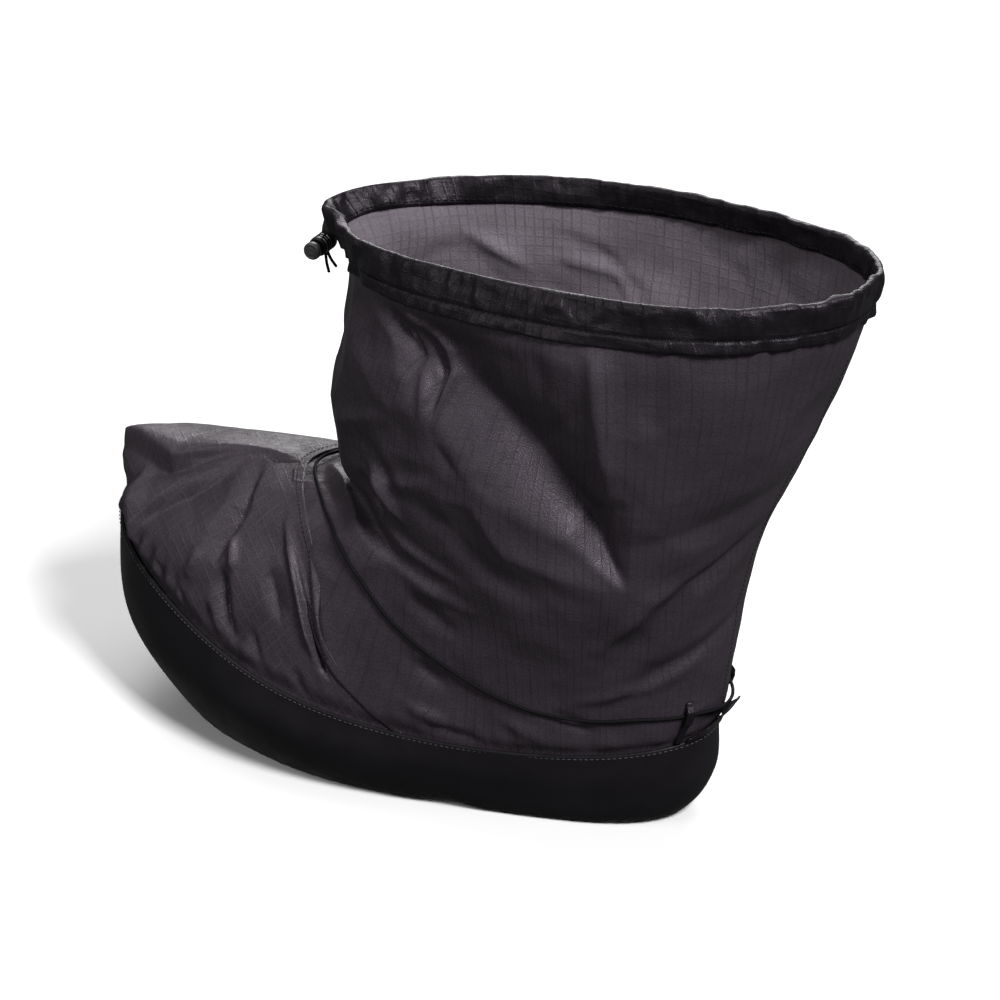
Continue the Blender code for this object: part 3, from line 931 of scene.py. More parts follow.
@dataclass(frozen=True)
class Braid(Finish):
    """Braided cover of a cord, drawn on the piece's weave map: around it and along it in metres."""

    name: str
    colour: Colour
    pitch: float
    roughness: float = 0.7
    shine: float = 0.12
    tints: Pair = (0.6, 1.6)
    relief: Pair = (0.6, 0.2)

    def dress(self, paint: Painter) -> None:
        """Draw the crossing strands.

        Args:
            paint: the new material.
        """
        across, along = paint.weave()
        turn = FULL_TURN / (self.pitch * METRES)
        crossing = []
        for sign in (1.0, -1.0):
            slanted = paint.math("MULTIPLY_ADD", across, sign, along)
            crossing.append(paint.math("SINE", paint.math("MULTIPLY", slanted, turn)))
        strands = paint.ramp(paint.math("MULTIPLY", *crossing), -1.0, 1.0, 0.0, 1.0)
        base = paint.shade(strands, self.colour, self.tints)
        paint.give(Base_Color=base, Roughness=self.roughness, Specular_IOR_Level=self.shine)
        paint.bump(strands, *self.relief)


@dataclass(frozen=True)
class Moulded(Finish):
    """Moulded plastic with a faint grain and handling marks."""

    name: str
    colour: Colour
    roughness: float
    tints: Pair = (0.85, 1.2)
    gloss: Pair = (-0.05, 0.1)
    relief: Pair = (0.25, 0.08)
    marked: Span = (0.35, 0.7, 0.0, 1.0)

    # Scales per metre
    marks: float = 260.0
    grain: float = 3000.0

    def dress(self, paint: Painter) -> None:
        """Draw the marks and the grain.

        Args:
            paint: the new material.
        """
        marks = paint.ramp(paint.noise(self.marks, detail=4.0), *self.marked)
        paint.give(Base_Color=paint.shade(marks, self.colour, self.tints))
        paint.uneven(marks, (0.0, 1.0), self.roughness, self.gloss)
        paint.bump(paint.noise(self.grain, detail=1.0), *self.relief)


OUTER_CLOTH = Ripstop(
    "ripstop_outside",
    colour=(0.0385, 0.0315, 0.040),
    yarn=(0.017, 0.0142, 0.0185),
    roughness=0.42,
)
VAMP_CLOTH = Ripstop(
    "ripstop_bias",
    colour=(0.0365, 0.030, 0.038),
    yarn=(0.060, 0.051, 0.061),
    roughness=0.42,
    yarn_strength=(0.4, 0.3),
)
# Painted light: the inside is the same ripstop coloured lighter, for the light that comes through the
# thin cloth and into the boot.
INNER_CLOTH_PAINTED_LIGHT = Ripstop(
    "ripstop_inside_painted_light",
    colour=(0.140, 0.122, 0.141),
    yarn=(0.085, 0.074, 0.086),
    roughness=0.6,
    yarn_strength=(0.6, 0.3),
)
CASING_CLOTH = Ripstop(
    "casing_ripstop",
    colour=(0.0072, 0.006, 0.008),
    yarn=(0.004, 0.0034, 0.0046),
    roughness=0.38,
    yarn_strength=(0.5, 0.3),
    shine=0.26,
    crinkles=((45.0, 3.0), (110.0, 0.5)),
)
SOLE_CLOTH = CoatedCloth(
    "coated_sole_cloth",
    colour=(0.0088, 0.0077, 0.0098),
    tops=(0.020, 0.018, 0.021),
    roughness=0.42,
)
DARK_THREAD = Thread("dark_thread", (0.004, 0.0035, 0.0045))
PALE_THREAD = Thread("grey_thread", (0.075, 0.068, 0.075))
ELASTIC_BRAID = Braid("elastic_cover", (0.0045, 0.004, 0.005), pitch=1.6)
CORD_BRAID = Braid("drawcord_braid", (0.008, 0.0075, 0.009), pitch=1.1)
LOCK_PLASTIC = Moulded("lock_moulding", (0.006, 0.006, 0.0065), roughness=0.38)
BUTTON_PLASTIC = Moulded("button_moulding", (0.045, 0.044, 0.047), roughness=0.42)


def new_object(name: str, data: bpy.types.ID) -> bpy.types.Object:
    """Put a mesh, a camera or a light into the scene at the origin.

    Args:
        name: the object's name.
        data: the mesh, camera or light.

    Returns:
        The new object.
    """
    obj = bpy.data.objects.new(name, data)
    bpy.context.scene.collection.objects.link(obj)
    return obj


def grid_object(
    name: str,
    points: np.ndarray,
    weave: np.ndarray,
    materials: tuple[bpy.types.Material, ...],
    close_columns: bool = True,
    close_rows: bool = False,
    inner_from: int | None = None,
) -> bpy.types.Object:
    """A piece from rows of points.

    Args:
        name: the piece's name.
        points: places in millimetres by row and column, rows upward outside and downward inside.
        weave: cloth coordinates in metres by row and column, one column and one row more where closed.
        materials: the outer material and, where there is one, the inner.
        close_columns: whether the last column meets the first.
        close_rows: whether the last row meets the first.
        inner_from: first row of faces that take the inner material.

    Returns:
        The new object.
    """
    rows, columns = points.shape[:2]
    face_rows = rows if close_rows else rows - 1
    face_columns = columns if close_columns else columns - 1
    row, column = np.meshgrid(np.arange(face_rows), np.arange(face_columns), indexing="ij")
    corner_rows = np.stack((row, row + 1, row + 1, row), axis=-1)
    corner_columns = np.stack((column, column, column + 1, column + 1), axis=-1)
    faces = (corner_rows % rows) * columns + corner_columns % columns
    mesh = bpy.data.meshes.new(name)
    mesh.from_pydata((points.reshape(-1, 3) * METRES).tolist(), [], faces.reshape(-1, 4).tolist())
    layer = mesh.uv_layers.new(name=WEAVE)
    layer.data.foreach_set("uv", weave[corner_rows, corner_columns].astype(np.float32).ravel())
    for one in materials:
        mesh.materials.append(one)
    if inner_from is not None:
        mesh.polygons.foreach_set("material_index", (row >= inner_from).astype(np.int32).ravel())
    mesh.shade_smooth()
    mesh.update()
    return new_object(name, mesh)


def wrapped(grid: np.ndarray, columns_too: bool = False) -> np.ndarray:
    """A grid with its first row again after its last.

    Args:
        grid: values by row and column.
        columns_too: whether its first column follows its last as well.

    Returns:
        The larger grid.
    """
    closed = np.concatenate((grid, grid[:1]))
    if columns_too:
        closed = np.concatenate((closed, closed[:, :1]), axis=1)
    return closed


def weld(obj: bpy.types.Object) -> bpy.types.Object:
    """Join a piece's points that lie in one place, so that its mesh closes.

    Args:
        obj: the piece.

    Returns:
        The same piece.
    """
    solid = bmesh.new()
    solid.from_mesh(obj.data)
    bmesh.ops.remove_doubles(solid, verts=solid.verts, dist=WELD_METRES)
    solid.to_mesh(obj.data)
    solid.free()
    return obj


def keep_result(obj: bpy.types.Object, modifier: bpy.types.Modifier) -> bpy.types.Mesh:
    """Keep what a modifier makes of an object as its plain mesh.

    Args:
        obj: the object.
        modifier: its modifier, which is removed.

    Returns:
        The object's new mesh.
    """
    graph = bpy.context.evaluated_depsgraph_get()
    mesh = bpy.data.meshes.new_from_object(obj.evaluated_get(graph), depsgraph=graph)
    obj.modifiers.remove(modifier)
    obj.data = mesh
    return mesh


def cap_columns(obj: bpy.types.Object, rows: int, columns: int) -> None:
    """Close the two open ends of a piece whose rows are closed and whose columns are not.

    Args:
        obj: the piece.
        rows: number of its rows.
        columns: number of its columns.
    """
    mesh = obj.data
    first = [row * columns for row in range(rows)]
    last = [row * columns + columns - 1 for row in reversed(range(rows))]
    for ring in (first, last):
        start = len(mesh.loops)
        mesh.loops.add(rows)
        mesh.polygons.add(1)
        mesh.polygons[-1].loop_start = start
        for step, vertex in enumerate(ring):
            mesh.loops[start + step].vertex_index = vertex
    mesh.update(calc_edges=True)
    mesh.validate()


def tube_object(
    name: str, path: np.ndarray, radius: float, sides: int, closed: bool, material: bpy.types.Material
) -> bpy.types.Object:
    """A round cord along a path in millimetres, with its weave map around and along it.

    Args:
        name: the piece's name.
        path: places along the cord.
        radius: its radius.
        sides: corners of its cross-section.
        closed: whether its end meets its start.
        material: its finish.

    Returns:
        The new object, with rounded ends where it is open.
    """
    ahead = np.roll(path, -1, axis=0) if closed else np.vstack((path[1:], 2.0 * path[-1:] - path[-2:-1]))
    behind = np.roll(path, 1, axis=0) if closed else np.vstack((2.0 * path[:1] - path[1:2], path[:-1]))
    tangent = ahead - behind
    tangent /= np.linalg.norm(tangent, axis=1, keepdims=True)
    side = np.cross(tangent[0], ASIDE)
    sides_of_path = []
    for one in tangent:
        side = side - one * (side @ one)
        side = side / np.linalg.norm(side)
        sides_of_path.append(side)
    across = np.array(sides_of_path)
    other = np.cross(across, tangent)
    angle = np.linspace(0.0, FULL_TURN, sides, endpoint=False)
    ring = across[:, None] * np.cos(angle)[None, :, None] + other[:, None] * np.sin(angle)[None, :, None]
    points = path[:, None] + radius * ring
    if not closed:
        lead = (path[0] - tangent[0] * SHOULDER_AT * radius)[None] + SHOULDER_WIDE * radius * ring[0]
        tail = (path[-1] + tangent[-1] * SHOULDER_AT * radius)[None] + SHOULDER_WIDE * radius * ring[-1]
        tip_lead = np.broadcast_to(path[0] - tangent[0] * TIP_AT * radius, lead.shape)
        tip_tail = np.broadcast_to(path[-1] + tangent[-1] * TIP_AT * radius, tail.shape)
        points = np.concatenate((tip_lead[None], lead[None], points, tail[None], tip_tail[None]))
    middle = points.mean(axis=1)
    along = length_along(wrapped(middle))
    girth = np.linspace(0.0, FULL_TURN * radius, sides + 1)
    weave = np.stack(np.broadcast_arrays(girth[None, :], along[:, None]), axis=-1) * METRES
    return grid_object(name, points, weave, (material,), close_rows=closed)


class NodeTree(Nodes):
    """A geometry node tree from one geometry to another, with named inputs for its sizes and finish."""

    def __init__(self, name: str, sizes: tuple[str, ...], finish: str) -> None:
        """Start the tree with its inputs.

        Args:
            name: the tree's name.
            sizes: names of its number inputs.
            finish: name of its material input.
        """
        super().__init__(bpy.data.node_groups.new(name, "GeometryNodeTree"))
        sockets = self.tree.interface
        sockets.new_socket("Geometry", in_out="INPUT", socket_type="NodeSocketGeometry")
        kinds = {size: "NodeSocketFloat" for size in sizes} | {finish: "NodeSocketMaterial"}
        self.inputs: dict[str, str] = {}
        for label, kind in kinds.items():
            self.inputs[label] = sockets.new_socket(label, in_out="INPUT", socket_type=kind).identifier
        sockets.new_socket("Geometry", in_out="OUTPUT", socket_type="NodeSocketGeometry")
        self.start = self.tree.nodes.new("NodeGroupInput").outputs
        self.finish = finish

    def end(self, geometry: bpy.types.NodeSocket) -> None:
        """End the tree with plain meshes in its finish.

        Args:
            geometry: what the tree has made.
        """
        real = self.node("GeometryNodeRealizeInstances", Geometry=geometry).outputs["Geometry"]
        dressed = self.node("GeometryNodeSetMaterial", Geometry=real, Material=self.start[self.finish])
        self.node("NodeGroupOutput", Geometry=dressed.outputs["Geometry"])


class StitchTree(NodeTree):
    """Geometry nodes that lay one row of stitches along a line."""

    segments: int = 6
    rings: int = 5

    def __init__(self) -> None:
        """Build the tree with named inputs for the stitch's sizes."""
        super().__init__("stitch_row", ("Pitch", "Stitch Length", "Thread Radius"), "Thread")
        start = self.start
        curve = self.node("GeometryNodeMeshToCurve", Mesh=start["Geometry"]).outputs["Curve"]
        evened = self.node("GeometryNodeResampleCurve", mode="LENGTH", Curve=curve, Length=start["Pitch"])
        spots = self.node("GeometryNodeCurveToPoints", mode="EVALUATED", Curve=evened.outputs["Curve"])
        turned = self.node("FunctionNodeAlignRotationToVector", axis="Z", Vector=spots.outputs["Tangent"])
        bead = self.node("GeometryNodeMeshUVSphere", Segments=self.segments, Rings=self.rings, Radius=1.0)
        radius = start["Thread Radius"]
        half = self.math("MULTIPLY", start["Stitch Length"], 0.5)
        size = self.node("ShaderNodeCombineXYZ", X=radius, Y=radius, Z=half)
        laid = self.node(
            "GeometryNodeInstanceOnPoints",
            Points=spots.outputs["Points"],
            Instance=bead.outputs["Mesh"],
            Rotation=turned.outputs["Rotation"],
            Scale=size.outputs["Vector"],
        )
        self.end(laid.outputs["Instances"])


class PebbleTree(NodeTree):
    """Geometry nodes that sink the gaps between pebbles where the pebble attribute asks for them."""

    # Distance from a pebble's middle, in pebble sizes, at which the surface stays where it was
    crown: float = 0.05

    def __init__(self) -> None:
        """Build the tree with named inputs for the pebbles' sizes."""
        super().__init__("pebble_grain", ("Pebble Size", "Pebble Height"), "Cloth")
        start = self.start
        place = self.node("GeometryNodeInputPosition").outputs["Position"]
        scale = self.math("DIVIDE", 1.0, start["Pebble Size"])
        cells = self.node("ShaderNodeTexVoronoi", feature="SMOOTH_F1", Vector=place, Scale=scale)
        mask = self.node("GeometryNodeInputNamedAttribute", data_type="FLOAT", Name=PEBBLE)
        dome = self.math("SUBTRACT", self.crown, cells.outputs["Distance"])
        height = self.math("MULTIPLY", start["Pebble Height"], mask.outputs["Attribute"])
        raised = self.math("MULTIPLY", dome, height)
        normal = self.node("GeometryNodeInputNormal").outputs["Normal"]
        push = self.node("ShaderNodeVectorMath", operation="SCALE", Vector=normal, Scale=raised)
        offset = push.outputs["Vector"]
        moved = self.node("GeometryNodeSetPosition", Geometry=start["Geometry"], Offset=offset)
        self.end(moved.outputs["Geometry"])


def through_nodes(obj: bpy.types.Object, tree: NodeTree, **values: object) -> bpy.types.Object:
    """Run an object through a node tree and keep the result as its plain mesh.

    Args:
        obj: the object that the tree starts from.
        tree: the tree.
        values: the tree's inputs by name, with underscores for spaces.

    Returns:
        The same object with the finished mesh.
    """
    modifier = obj.modifiers.new(tree.tree.name, "NODES")
    modifier.node_group = tree.tree
    for name, value in values.items():
        modifier[tree.inputs[name.replace("_", " ")]] = value
    mesh = keep_result(obj, modifier)
    mesh.name = obj.name
    mesh.shade_smooth()
    return obj


def settle(obj: bpy.types.Object, body: Body, slot: Slot, *nodes: str) -> None:
    """Weld a finished piece, hang it on its body and hide the nodes that it stands for.

    Args:
        obj: the piece.
        body: the body that it rides on.
        slot: the finish that it takes; not used.
        nodes: the nodes that it stands for.
    """
    weld(obj)
    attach(obj, body.value)
    if nodes:
        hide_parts(*nodes)
    LOG.info("%s: %d faces", obj.name, len(obj.data.polygons))


@dataclass(frozen=True)
class StitchRow:
    """One row of stitches: its name, the finish it goes with and the stitch's sizes."""

    name: str
    slot: Slot
    pitch: float = 2.4
    length: float = 1.7
    radius: float = 0.2

    def sew(self, tree: StitchTree, path: np.ndarray, thread: bpy.types.Material) -> None:
        """Lay the row along a path in millimetres.

        Args:
            tree: the stitch tree.
            path: places along the row.
            thread: the thread's material.
        """
        mesh = bpy.data.meshes.new(self.name)
        edges = [(start, start + 1) for start in range(len(path) - 1)]
        mesh.from_pydata((path * METRES).tolist(), edges, [])
        row = through_nodes(
            new_object(self.name, mesh),
            tree,
            Pitch=self.pitch * METRES,
            Stitch_Length=self.length * METRES,
            Thread_Radius=self.radius * METRES,
            Thread=thread,
        )
        settle(row, Body.BOOT, self.slot)


def around(count: int) -> np.ndarray:
    """Turns of evenly spaced columns round the whole boot."""
    return np.arange(count) * (FULL_TURN / count)


def from_heel(turn: np.ndarray) -> np.ndarray:
    """Degrees away from the heel, alike on both sides."""
    return np.abs((np.degrees(turn) + 180.0) % 360.0 - 180.0)


@dataclass(frozen=True)
class SoftBox:
    """One soft light: where it stands and its side, both in metres, and its power in watts."""

    name: str
    place: Place
    size: float
    watts: float


@dataclass
class Studio:
    """Camera at the photograph's angle, pale floor and soft light."""

    azimuth: float = 117.6
    elevation: float = 28.0
    distance: float = 1890.0
    lens: float = 148.0
    aim: Place = (-14.5, 38.5, 129.0)
    floor_size: float = 9000.0
    floor_colour: Colour = (0.92, 0.92, 0.92)
    floor_roughness: float = 0.9
    even_light: float = 0.1
    soft_boxes: tuple[SoftBox, ...] = (
        SoftBox("key", (1.15, 2.15, 2.75), 0.9, 150.0),
        SoftBox("fill", (2.3, -1.5, 2.0), 1.6, 26.0),
        SoftBox("top", (-0.9, -0.4, 3.2), 2.4, 34.0),
        SoftBox("inner_side", (-2.3, -0.7, 1.1), 1.6, 42.0),
    )

    def stand(self, name: str, data: bpy.types.ID, place: Vector, toward: Vector) -> bpy.types.Object:
        """Put a camera or a lamp into the scene.

        Args:
            name: the object's name.
            data: the camera or the light.
            place: where it stands, in metres.
            toward: the way it faces.

        Returns:
            The new object.
        """
        obj = new_object(name, data)
        obj.location = place
        obj.rotation_euler = toward.to_track_quat("-Z", "Y").to_euler()
        return obj

    def place_camera(self) -> None:
        """Create the camera."""
        turn = math.radians(self.azimuth)
        rise = math.radians(self.elevation)
        away = Vector((math.sin(turn) * math.cos(rise), -math.cos(turn) * math.cos(rise), math.sin(rise)))
        data = bpy.data.cameras.new("camera")
        data.lens = self.lens
        place = (Vector(self.aim) + away * self.distance) * METRES
        bpy.context.scene.camera = self.stand("camera", data, place, -away)

    def lay_floor(self) -> None:
        """Create the pale floor, which throws no light back up onto the dark cloth."""
        half = self.floor_size / 2.0
        near = ((-half, -half, 0.0), (half, -half, 0.0))
        far = ((-half, half, 0.0), (half, half, 0.0))
        corners = np.array((far, near))
        paint = Painter("pale_floor")
        paint.give(Base_Color=(*self.floor_colour, 1.0), Roughness=self.floor_roughness)
        floor = grid_object("floor", corners, np.zeros((2, 2, 2)), (paint.material,), close_columns=False)
        floor.visible_diffuse = False
        floor.visible_glossy = False

    def light_up(self) -> None:
        """Create the soft boxes, which face the boot, and the even light around."""
        for box in self.soft_boxes:
            data = bpy.data.lights.new(box.name, "AREA")
            data.size = box.size
            data.energy = box.watts
            place = Vector(box.place)
            self.stand(box.name, data, place, Vector(self.aim) * METRES - place)
        world = bpy.data.worlds.new("studio")
        world.use_nodes = True
        background = world.node_tree.nodes["Background"]
        background.inputs["Color"].default_value = (1.0, 1.0, 1.0, 1.0)
        background.inputs["Strength"].default_value = self.even_light
        bpy.context.scene.world = world
        bpy.context.scene.view_settings.view_transform = "Standard"


@dataclass
class CordLock:
    """Cord lock under the casing's beak, with its push button, and the drawcord's two ends through it."""

    radius: float = 4.6
    length: float = 11.0
    below_tip: float = 5.2
    button_radius: float = 4.1
    button_head: float = 3.0
    button_dish: float = 0.25
    stem_radius: float = 2.7
    stem_chamfer: float = 0.3
    travel: float = 2.5
    gap: float = 0.3
    bore_depth: float = 5.8
    bore_flare: float = 0.15
    bore_lip: float = 0.2
    eye_radius: float = 1.85
    eye_from_centre: float = 2.9
    cord_radius: float = 0.7
    cord_points: int = 36
    cord_sides: int = 12
    sides: int = 48

    # Across from the eye, along from the lock's middle, and up from it, for the drawcord's outer end
    route: tuple[Place, ...] = (
        (13.6, 11.2, 9.6), (9.4, 9.9, 9.4), (5.6, 7.6, 9.1), (2.8, 4.6, 8.7), (1.3, 1.9, 7.7),
        (0.85, 0.45, 6.1), (0.85, 0.0, 4.4), (0.85, 0.0, 1.5), (0.85, 0.0, -1.5), (0.85, 0.0, -4.6),
        (1.25, 0.3, -7.0), (2.1, 1.2, -10.0), (3.35, 3.0, -13.6),
    )

    # The barrel's profile: steps in from an end, or on from a grip ring's middle, and in from its radius
    inner_end: tuple[Pair, ...] = ((0.0, 1.35), (0.15, 0.55), (0.5, 0.12), (1.0, 0.0))
    ring_middles: tuple[float, ...] = (-0.6, 1.2, 3.0)
    ring_steps: tuple[Pair, ...] = ((-0.55, 0.0), (-0.3, 0.4), (0.3, 0.4), (0.55, 0.0))
    outer_end: tuple[Pair, ...] = ((1.0, 0.0), (0.5, 0.12), (0.1, 0.55), (0.0, 0.95))

    # The button's profile: steps on from its head's back, or in from its front, and in from its radius
    head_back: tuple[Pair, ...] = ((0.05, 0.5), (0.5, 0.0))
    head_rim: tuple[Pair, ...] = ((0.7, 0.0), (0.25, 0.25), (0.02, 0.7), (0.0, 1.1))
    head_groove: tuple[Pair, ...] = ((0.3, 1.35), (0.3, 1.7), (0.05, 1.95), (0.15, 3.0))

    def centre(self) -> np.ndarray:
        """Middle of the lock, hanging just under the tip of the beak.

        Returns:
            Its place in millimetres.
        """
        turn = np.array(math.pi)
        proud = CASING.beak_root + CASING.beak_proud
        tip = FORM.skin(FORM.below_rim(CASING.beak_drop, turn), turn, proud)
        return tip - np.array((0.0, 0.0, self.below_tip))

    def eye(self) -> np.ndarray:
        """Middle of the eye that the drawcord runs through."""
        return self.centre() - np.array((self.eye_from_centre, 0.0, 0.0))

    def hang_cords(self) -> None:
        """Make the drawcord's two ends, out of the casing, over and down through the lock's eye."""
        finish = CORD_BRAID.material()
        for side, name, node in (
            (1.0, "drawcord_outer", "drawcord_end_outer"),
            (-1.0, "drawcord_inner", "drawcord_end_inner"),
        ):
            knots = self.eye() + np.array(self.route) * np.array((side, 1.0, 1.0))
            path = smooth_path(knots, self.cord_points)
            cord = tube_object(name, path, self.cord_radius, self.cord_sides, False, finish)
            settle(cord, Body.BOOT, Slot.DRAWCORD, node)

    def turned(self, name: str, profile: list[Pair], finish: bpy.types.Material) -> bpy.types.Object:
        """A piece turned about the lock's own axis.

        Args:
            name: the piece's name.
            profile: distance along X from the lock's middle and radius, from the inner end to the outer.
            finish: its material.

        Returns:
            The new object.
        """
        angle = np.linspace(0.0, FULL_TURN, self.sides, endpoint=False)
        along, radius = np.array(profile).T
        ring = np.stack((np.zeros(self.sides), np.cos(angle), np.sin(angle)), axis=-1)
        points = radius[:, None, None] * ring[None] + self.centre()
        points[..., 0] += along[:, None]
        weave = np.zeros((len(profile), self.sides + 1, 2))
        return weld(grid_object(name, points[::-1], weave, (finish,)))

    def make_barrel(self) -> None:
        """Make the barrel, with grip rings, a bore and an eye."""
        half = self.length / 2.0
        bore = self.stem_radius + self.gap
        bottom = half - self.bore_depth
        profile = [(-half, 0.0)]
        profile += [(step - half, self.radius - inward) for step, inward in self.inner_end]
        for middle in self.ring_middles:
            profile += [(middle + step, self.radius - inward) for step, inward in self.ring_steps]
        profile += [(half - step, self.radius - inward) for step, inward in self.outer_end]
        profile += [(half, bore + self.bore_flare), (half - self.bore_lip, bore)]
        profile += [(bottom, bore), (bottom, 0.0)]
        barrel = self.turned("lock_barrel", profile, LOCK_PLASTIC.material())
        self.cut_eye(barrel)
        settle(barrel, Body.BOOT, Slot.LOCK_PLASTIC, "cord_lock_barrel")

    def make_button(self) -> None:
        """Make the button, with its stem and its grooved head."""
        half = self.length / 2.0
        back = half + self.travel + self.gap
        front = back + self.button_head
        stem_end = half - self.bore_depth + self.travel + self.gap
        profile = [(stem_end, 0.0), (stem_end, self.stem_radius - self.stem_chamfer)]
        profile += [(stem_end + self.stem_chamfer, self.stem_radius), (back, self.stem_radius)]
        profile += [(back + step, self.button_radius - inward) for step, inward in self.head_back]
        for step, inward in self.head_rim + self.head_groove:
            profile.append((front - step, self.button_radius - inward))
        profile.append((front - self.button_dish, 0.0))
        button = self.turned("lock_button", profile, BUTTON_PLASTIC.material())
        settle(button, Body.BUTTON, Slot.BUTTON_PLASTIC, "cord_lock_button")

    def cut_eye(self, barrel: bpy.types.Object) -> None:
        """Cut the drawcord's eye through the barrel.

        Args:
            barrel: the barrel.
        """
        angle = np.linspace(0.0, FULL_TURN, self.sides, endpoint=False)
        ring = np.stack((np.cos(angle), np.sin(angle), np.zeros(self.sides)), axis=-1) * self.eye_radius
        reach = 2.0 * self.radius
        levels = np.array((-reach, -reach, reach, reach))
        widths = np.array((0.0, 1.0, 1.0, 0.0))
        points = ring[None] * widths[:, None, None] + self.eye()
        points[..., 2] += levels[:, None]
        weave = np.zeros((len(levels), self.sides + 1, 2))
        cutter = weld(grid_object("eye_cutter", points[:, ::-1], weave, ()))
        change = barrel.modifiers.new("eye", "BOOLEAN")
        change.operation = "DIFFERENCE"
        change.solver = "EXACT"
        change.object = cutter
        keep_result(barrel, change)
        bpy.data.objects.remove(cutter, do_unlink=True)


@dataclass
class Sole:
    """Coated panel under the foot that turns up all round as a rand."""

    wall: float = 1.6
    columns: int = 420
    under_rows: int = 84
    rand_rows: int = 44
    inner_rows: int = 12
    inner_edge: float = 0.96
    spine_inset: float = 42.0
    rim_round: float = 0.35
    ripple: float = 0.35
    ripple_wave: float = 60.0
    ripple_seed: int = 11
    ripple_below: float = 0.5
    ripple_over: float = 0.8
    pebble: float = 2.4
    pebble_height: float = 0.85
    pebble_fade: float = 0.55
    plain_rows: int = 3
    plain_ends: float = 0.2

    def under(self, share: np.ndarray, turn: np.ndarray, lift: float) -> np.ndarray:
        """Rows of the underside, from the spine out to the floor's edge.

        Args:
            share: each row's share of the way out.
            turn: turn of each column.
            lift: height above the sole's outer face.

        Returns:
            Places in millimetres by row and column.
        """
        edge = FORM.skin(np.full(turn.shape, float(Level.FLOOR)), turn)
        mirrored = FORM.skin(np.full(turn.shape, float(Level.FLOOR)), -turn)
        floor = SECTIONS[Level.FLOOR]
        along = (edge[:, 1] - edge[:, 1].min()) / (edge[:, 1].max() - edge[:, 1].min())
        spine = (edge + mirrored) / 2.0
        front = floor.front_y + self.spine_inset
        spine[:, 1] = front + (floor.back_y - self.spine_inset - front) * along
        points = spine + (edge - spine) * share[:, None, None]
        points[..., 2] = FORM.underside(points[..., 1]) + lift
        return points

    def make(self, tree: PebbleTree) -> None:
        """Make the sole: underside, rand, turned rim and plain inside.

        Args:
            tree: the pebble tree.
        """
        turn = around(self.columns)
        outer_under = self.under(np.linspace(0.0, 1.0, self.under_rows), turn, 0.0)
        low = np.full(self.columns, float(Level.FLOOR))
        high = np.full(self.columns, float(Level.SEAM))
        levels = FORM.even_levels(low, high, turn, self.rand_rows)[1:]
        plain = FORM.plain(levels, np.broadcast_to(turn, levels.shape))
        rippled = eased((levels - Level.RAND + self.ripple_below) / self.ripple_over)
        ripple = self.ripple * waves(plain, self.ripple_wave, self.ripple_seed) * rippled
        rand = FORM.skin(levels, turn, ripple)
        rim = FORM.skin(high, turn, -self.wall / 2.0)[None] + np.array((0.0, 0.0, self.rim_round))
        down = np.linspace(float(Level.SEAM), float(Level.FLOOR), self.inner_rows)[:, None]
        inside = FORM.skin(down, turn, -self.wall)
        inner_under = self.under(np.linspace(self.inner_edge, 0.0, self.inner_rows), turn, self.wall)
        points = np.concatenate((outer_under, rand, rim, inside, inner_under))
        weave = np.zeros((len(points), self.columns + 1, 2))
        sole = grid_object("sole_panel", points, weave, (SOLE_CLOTH.material(),))
        pebbled = np.zeros(points.shape[:2], dtype=np.float32)
        pebbled[: self.under_rows] = 1.0
        # The rows run together at the spine's two ends, which stay plain
        pebbled[: self.plain_rows] = eased(np.abs(np.sin(turn)) / self.plain_ends)
        fade = 1.0 - eased((levels - Level.FLOOR) / self.pebble_fade)
        pebbled[self.under_rows : self.under_rows + len(levels)] = fade
        attribute = sole.data.attributes.new(PEBBLE, "FLOAT", "POINT")
        attribute.data.foreach_set("value", pebbled.ravel())
        through_nodes(
            weld(sole),
            tree,
            Pebble_Size=self.pebble * METRES,
            Pebble_Height=self.pebble_height * METRES,
            Cloth=sole.data.materials[0],
        )
        settle(sole, Body.BOOT, Slot.COATED_SOLE, "sole")


@dataclass(frozen=True)
class Panel:
    """One panel of the upper: its creases, the start of the random draws for its crumples, its slack."""

    creases: tuple[Crease, ...]
    seed: int
    slack: float = 1.0


SHAFT = Panel(SHAFT_CREASES, seed=21)
VAMP = Panel(VAMP_CREASES, seed=31, slack=0.3)


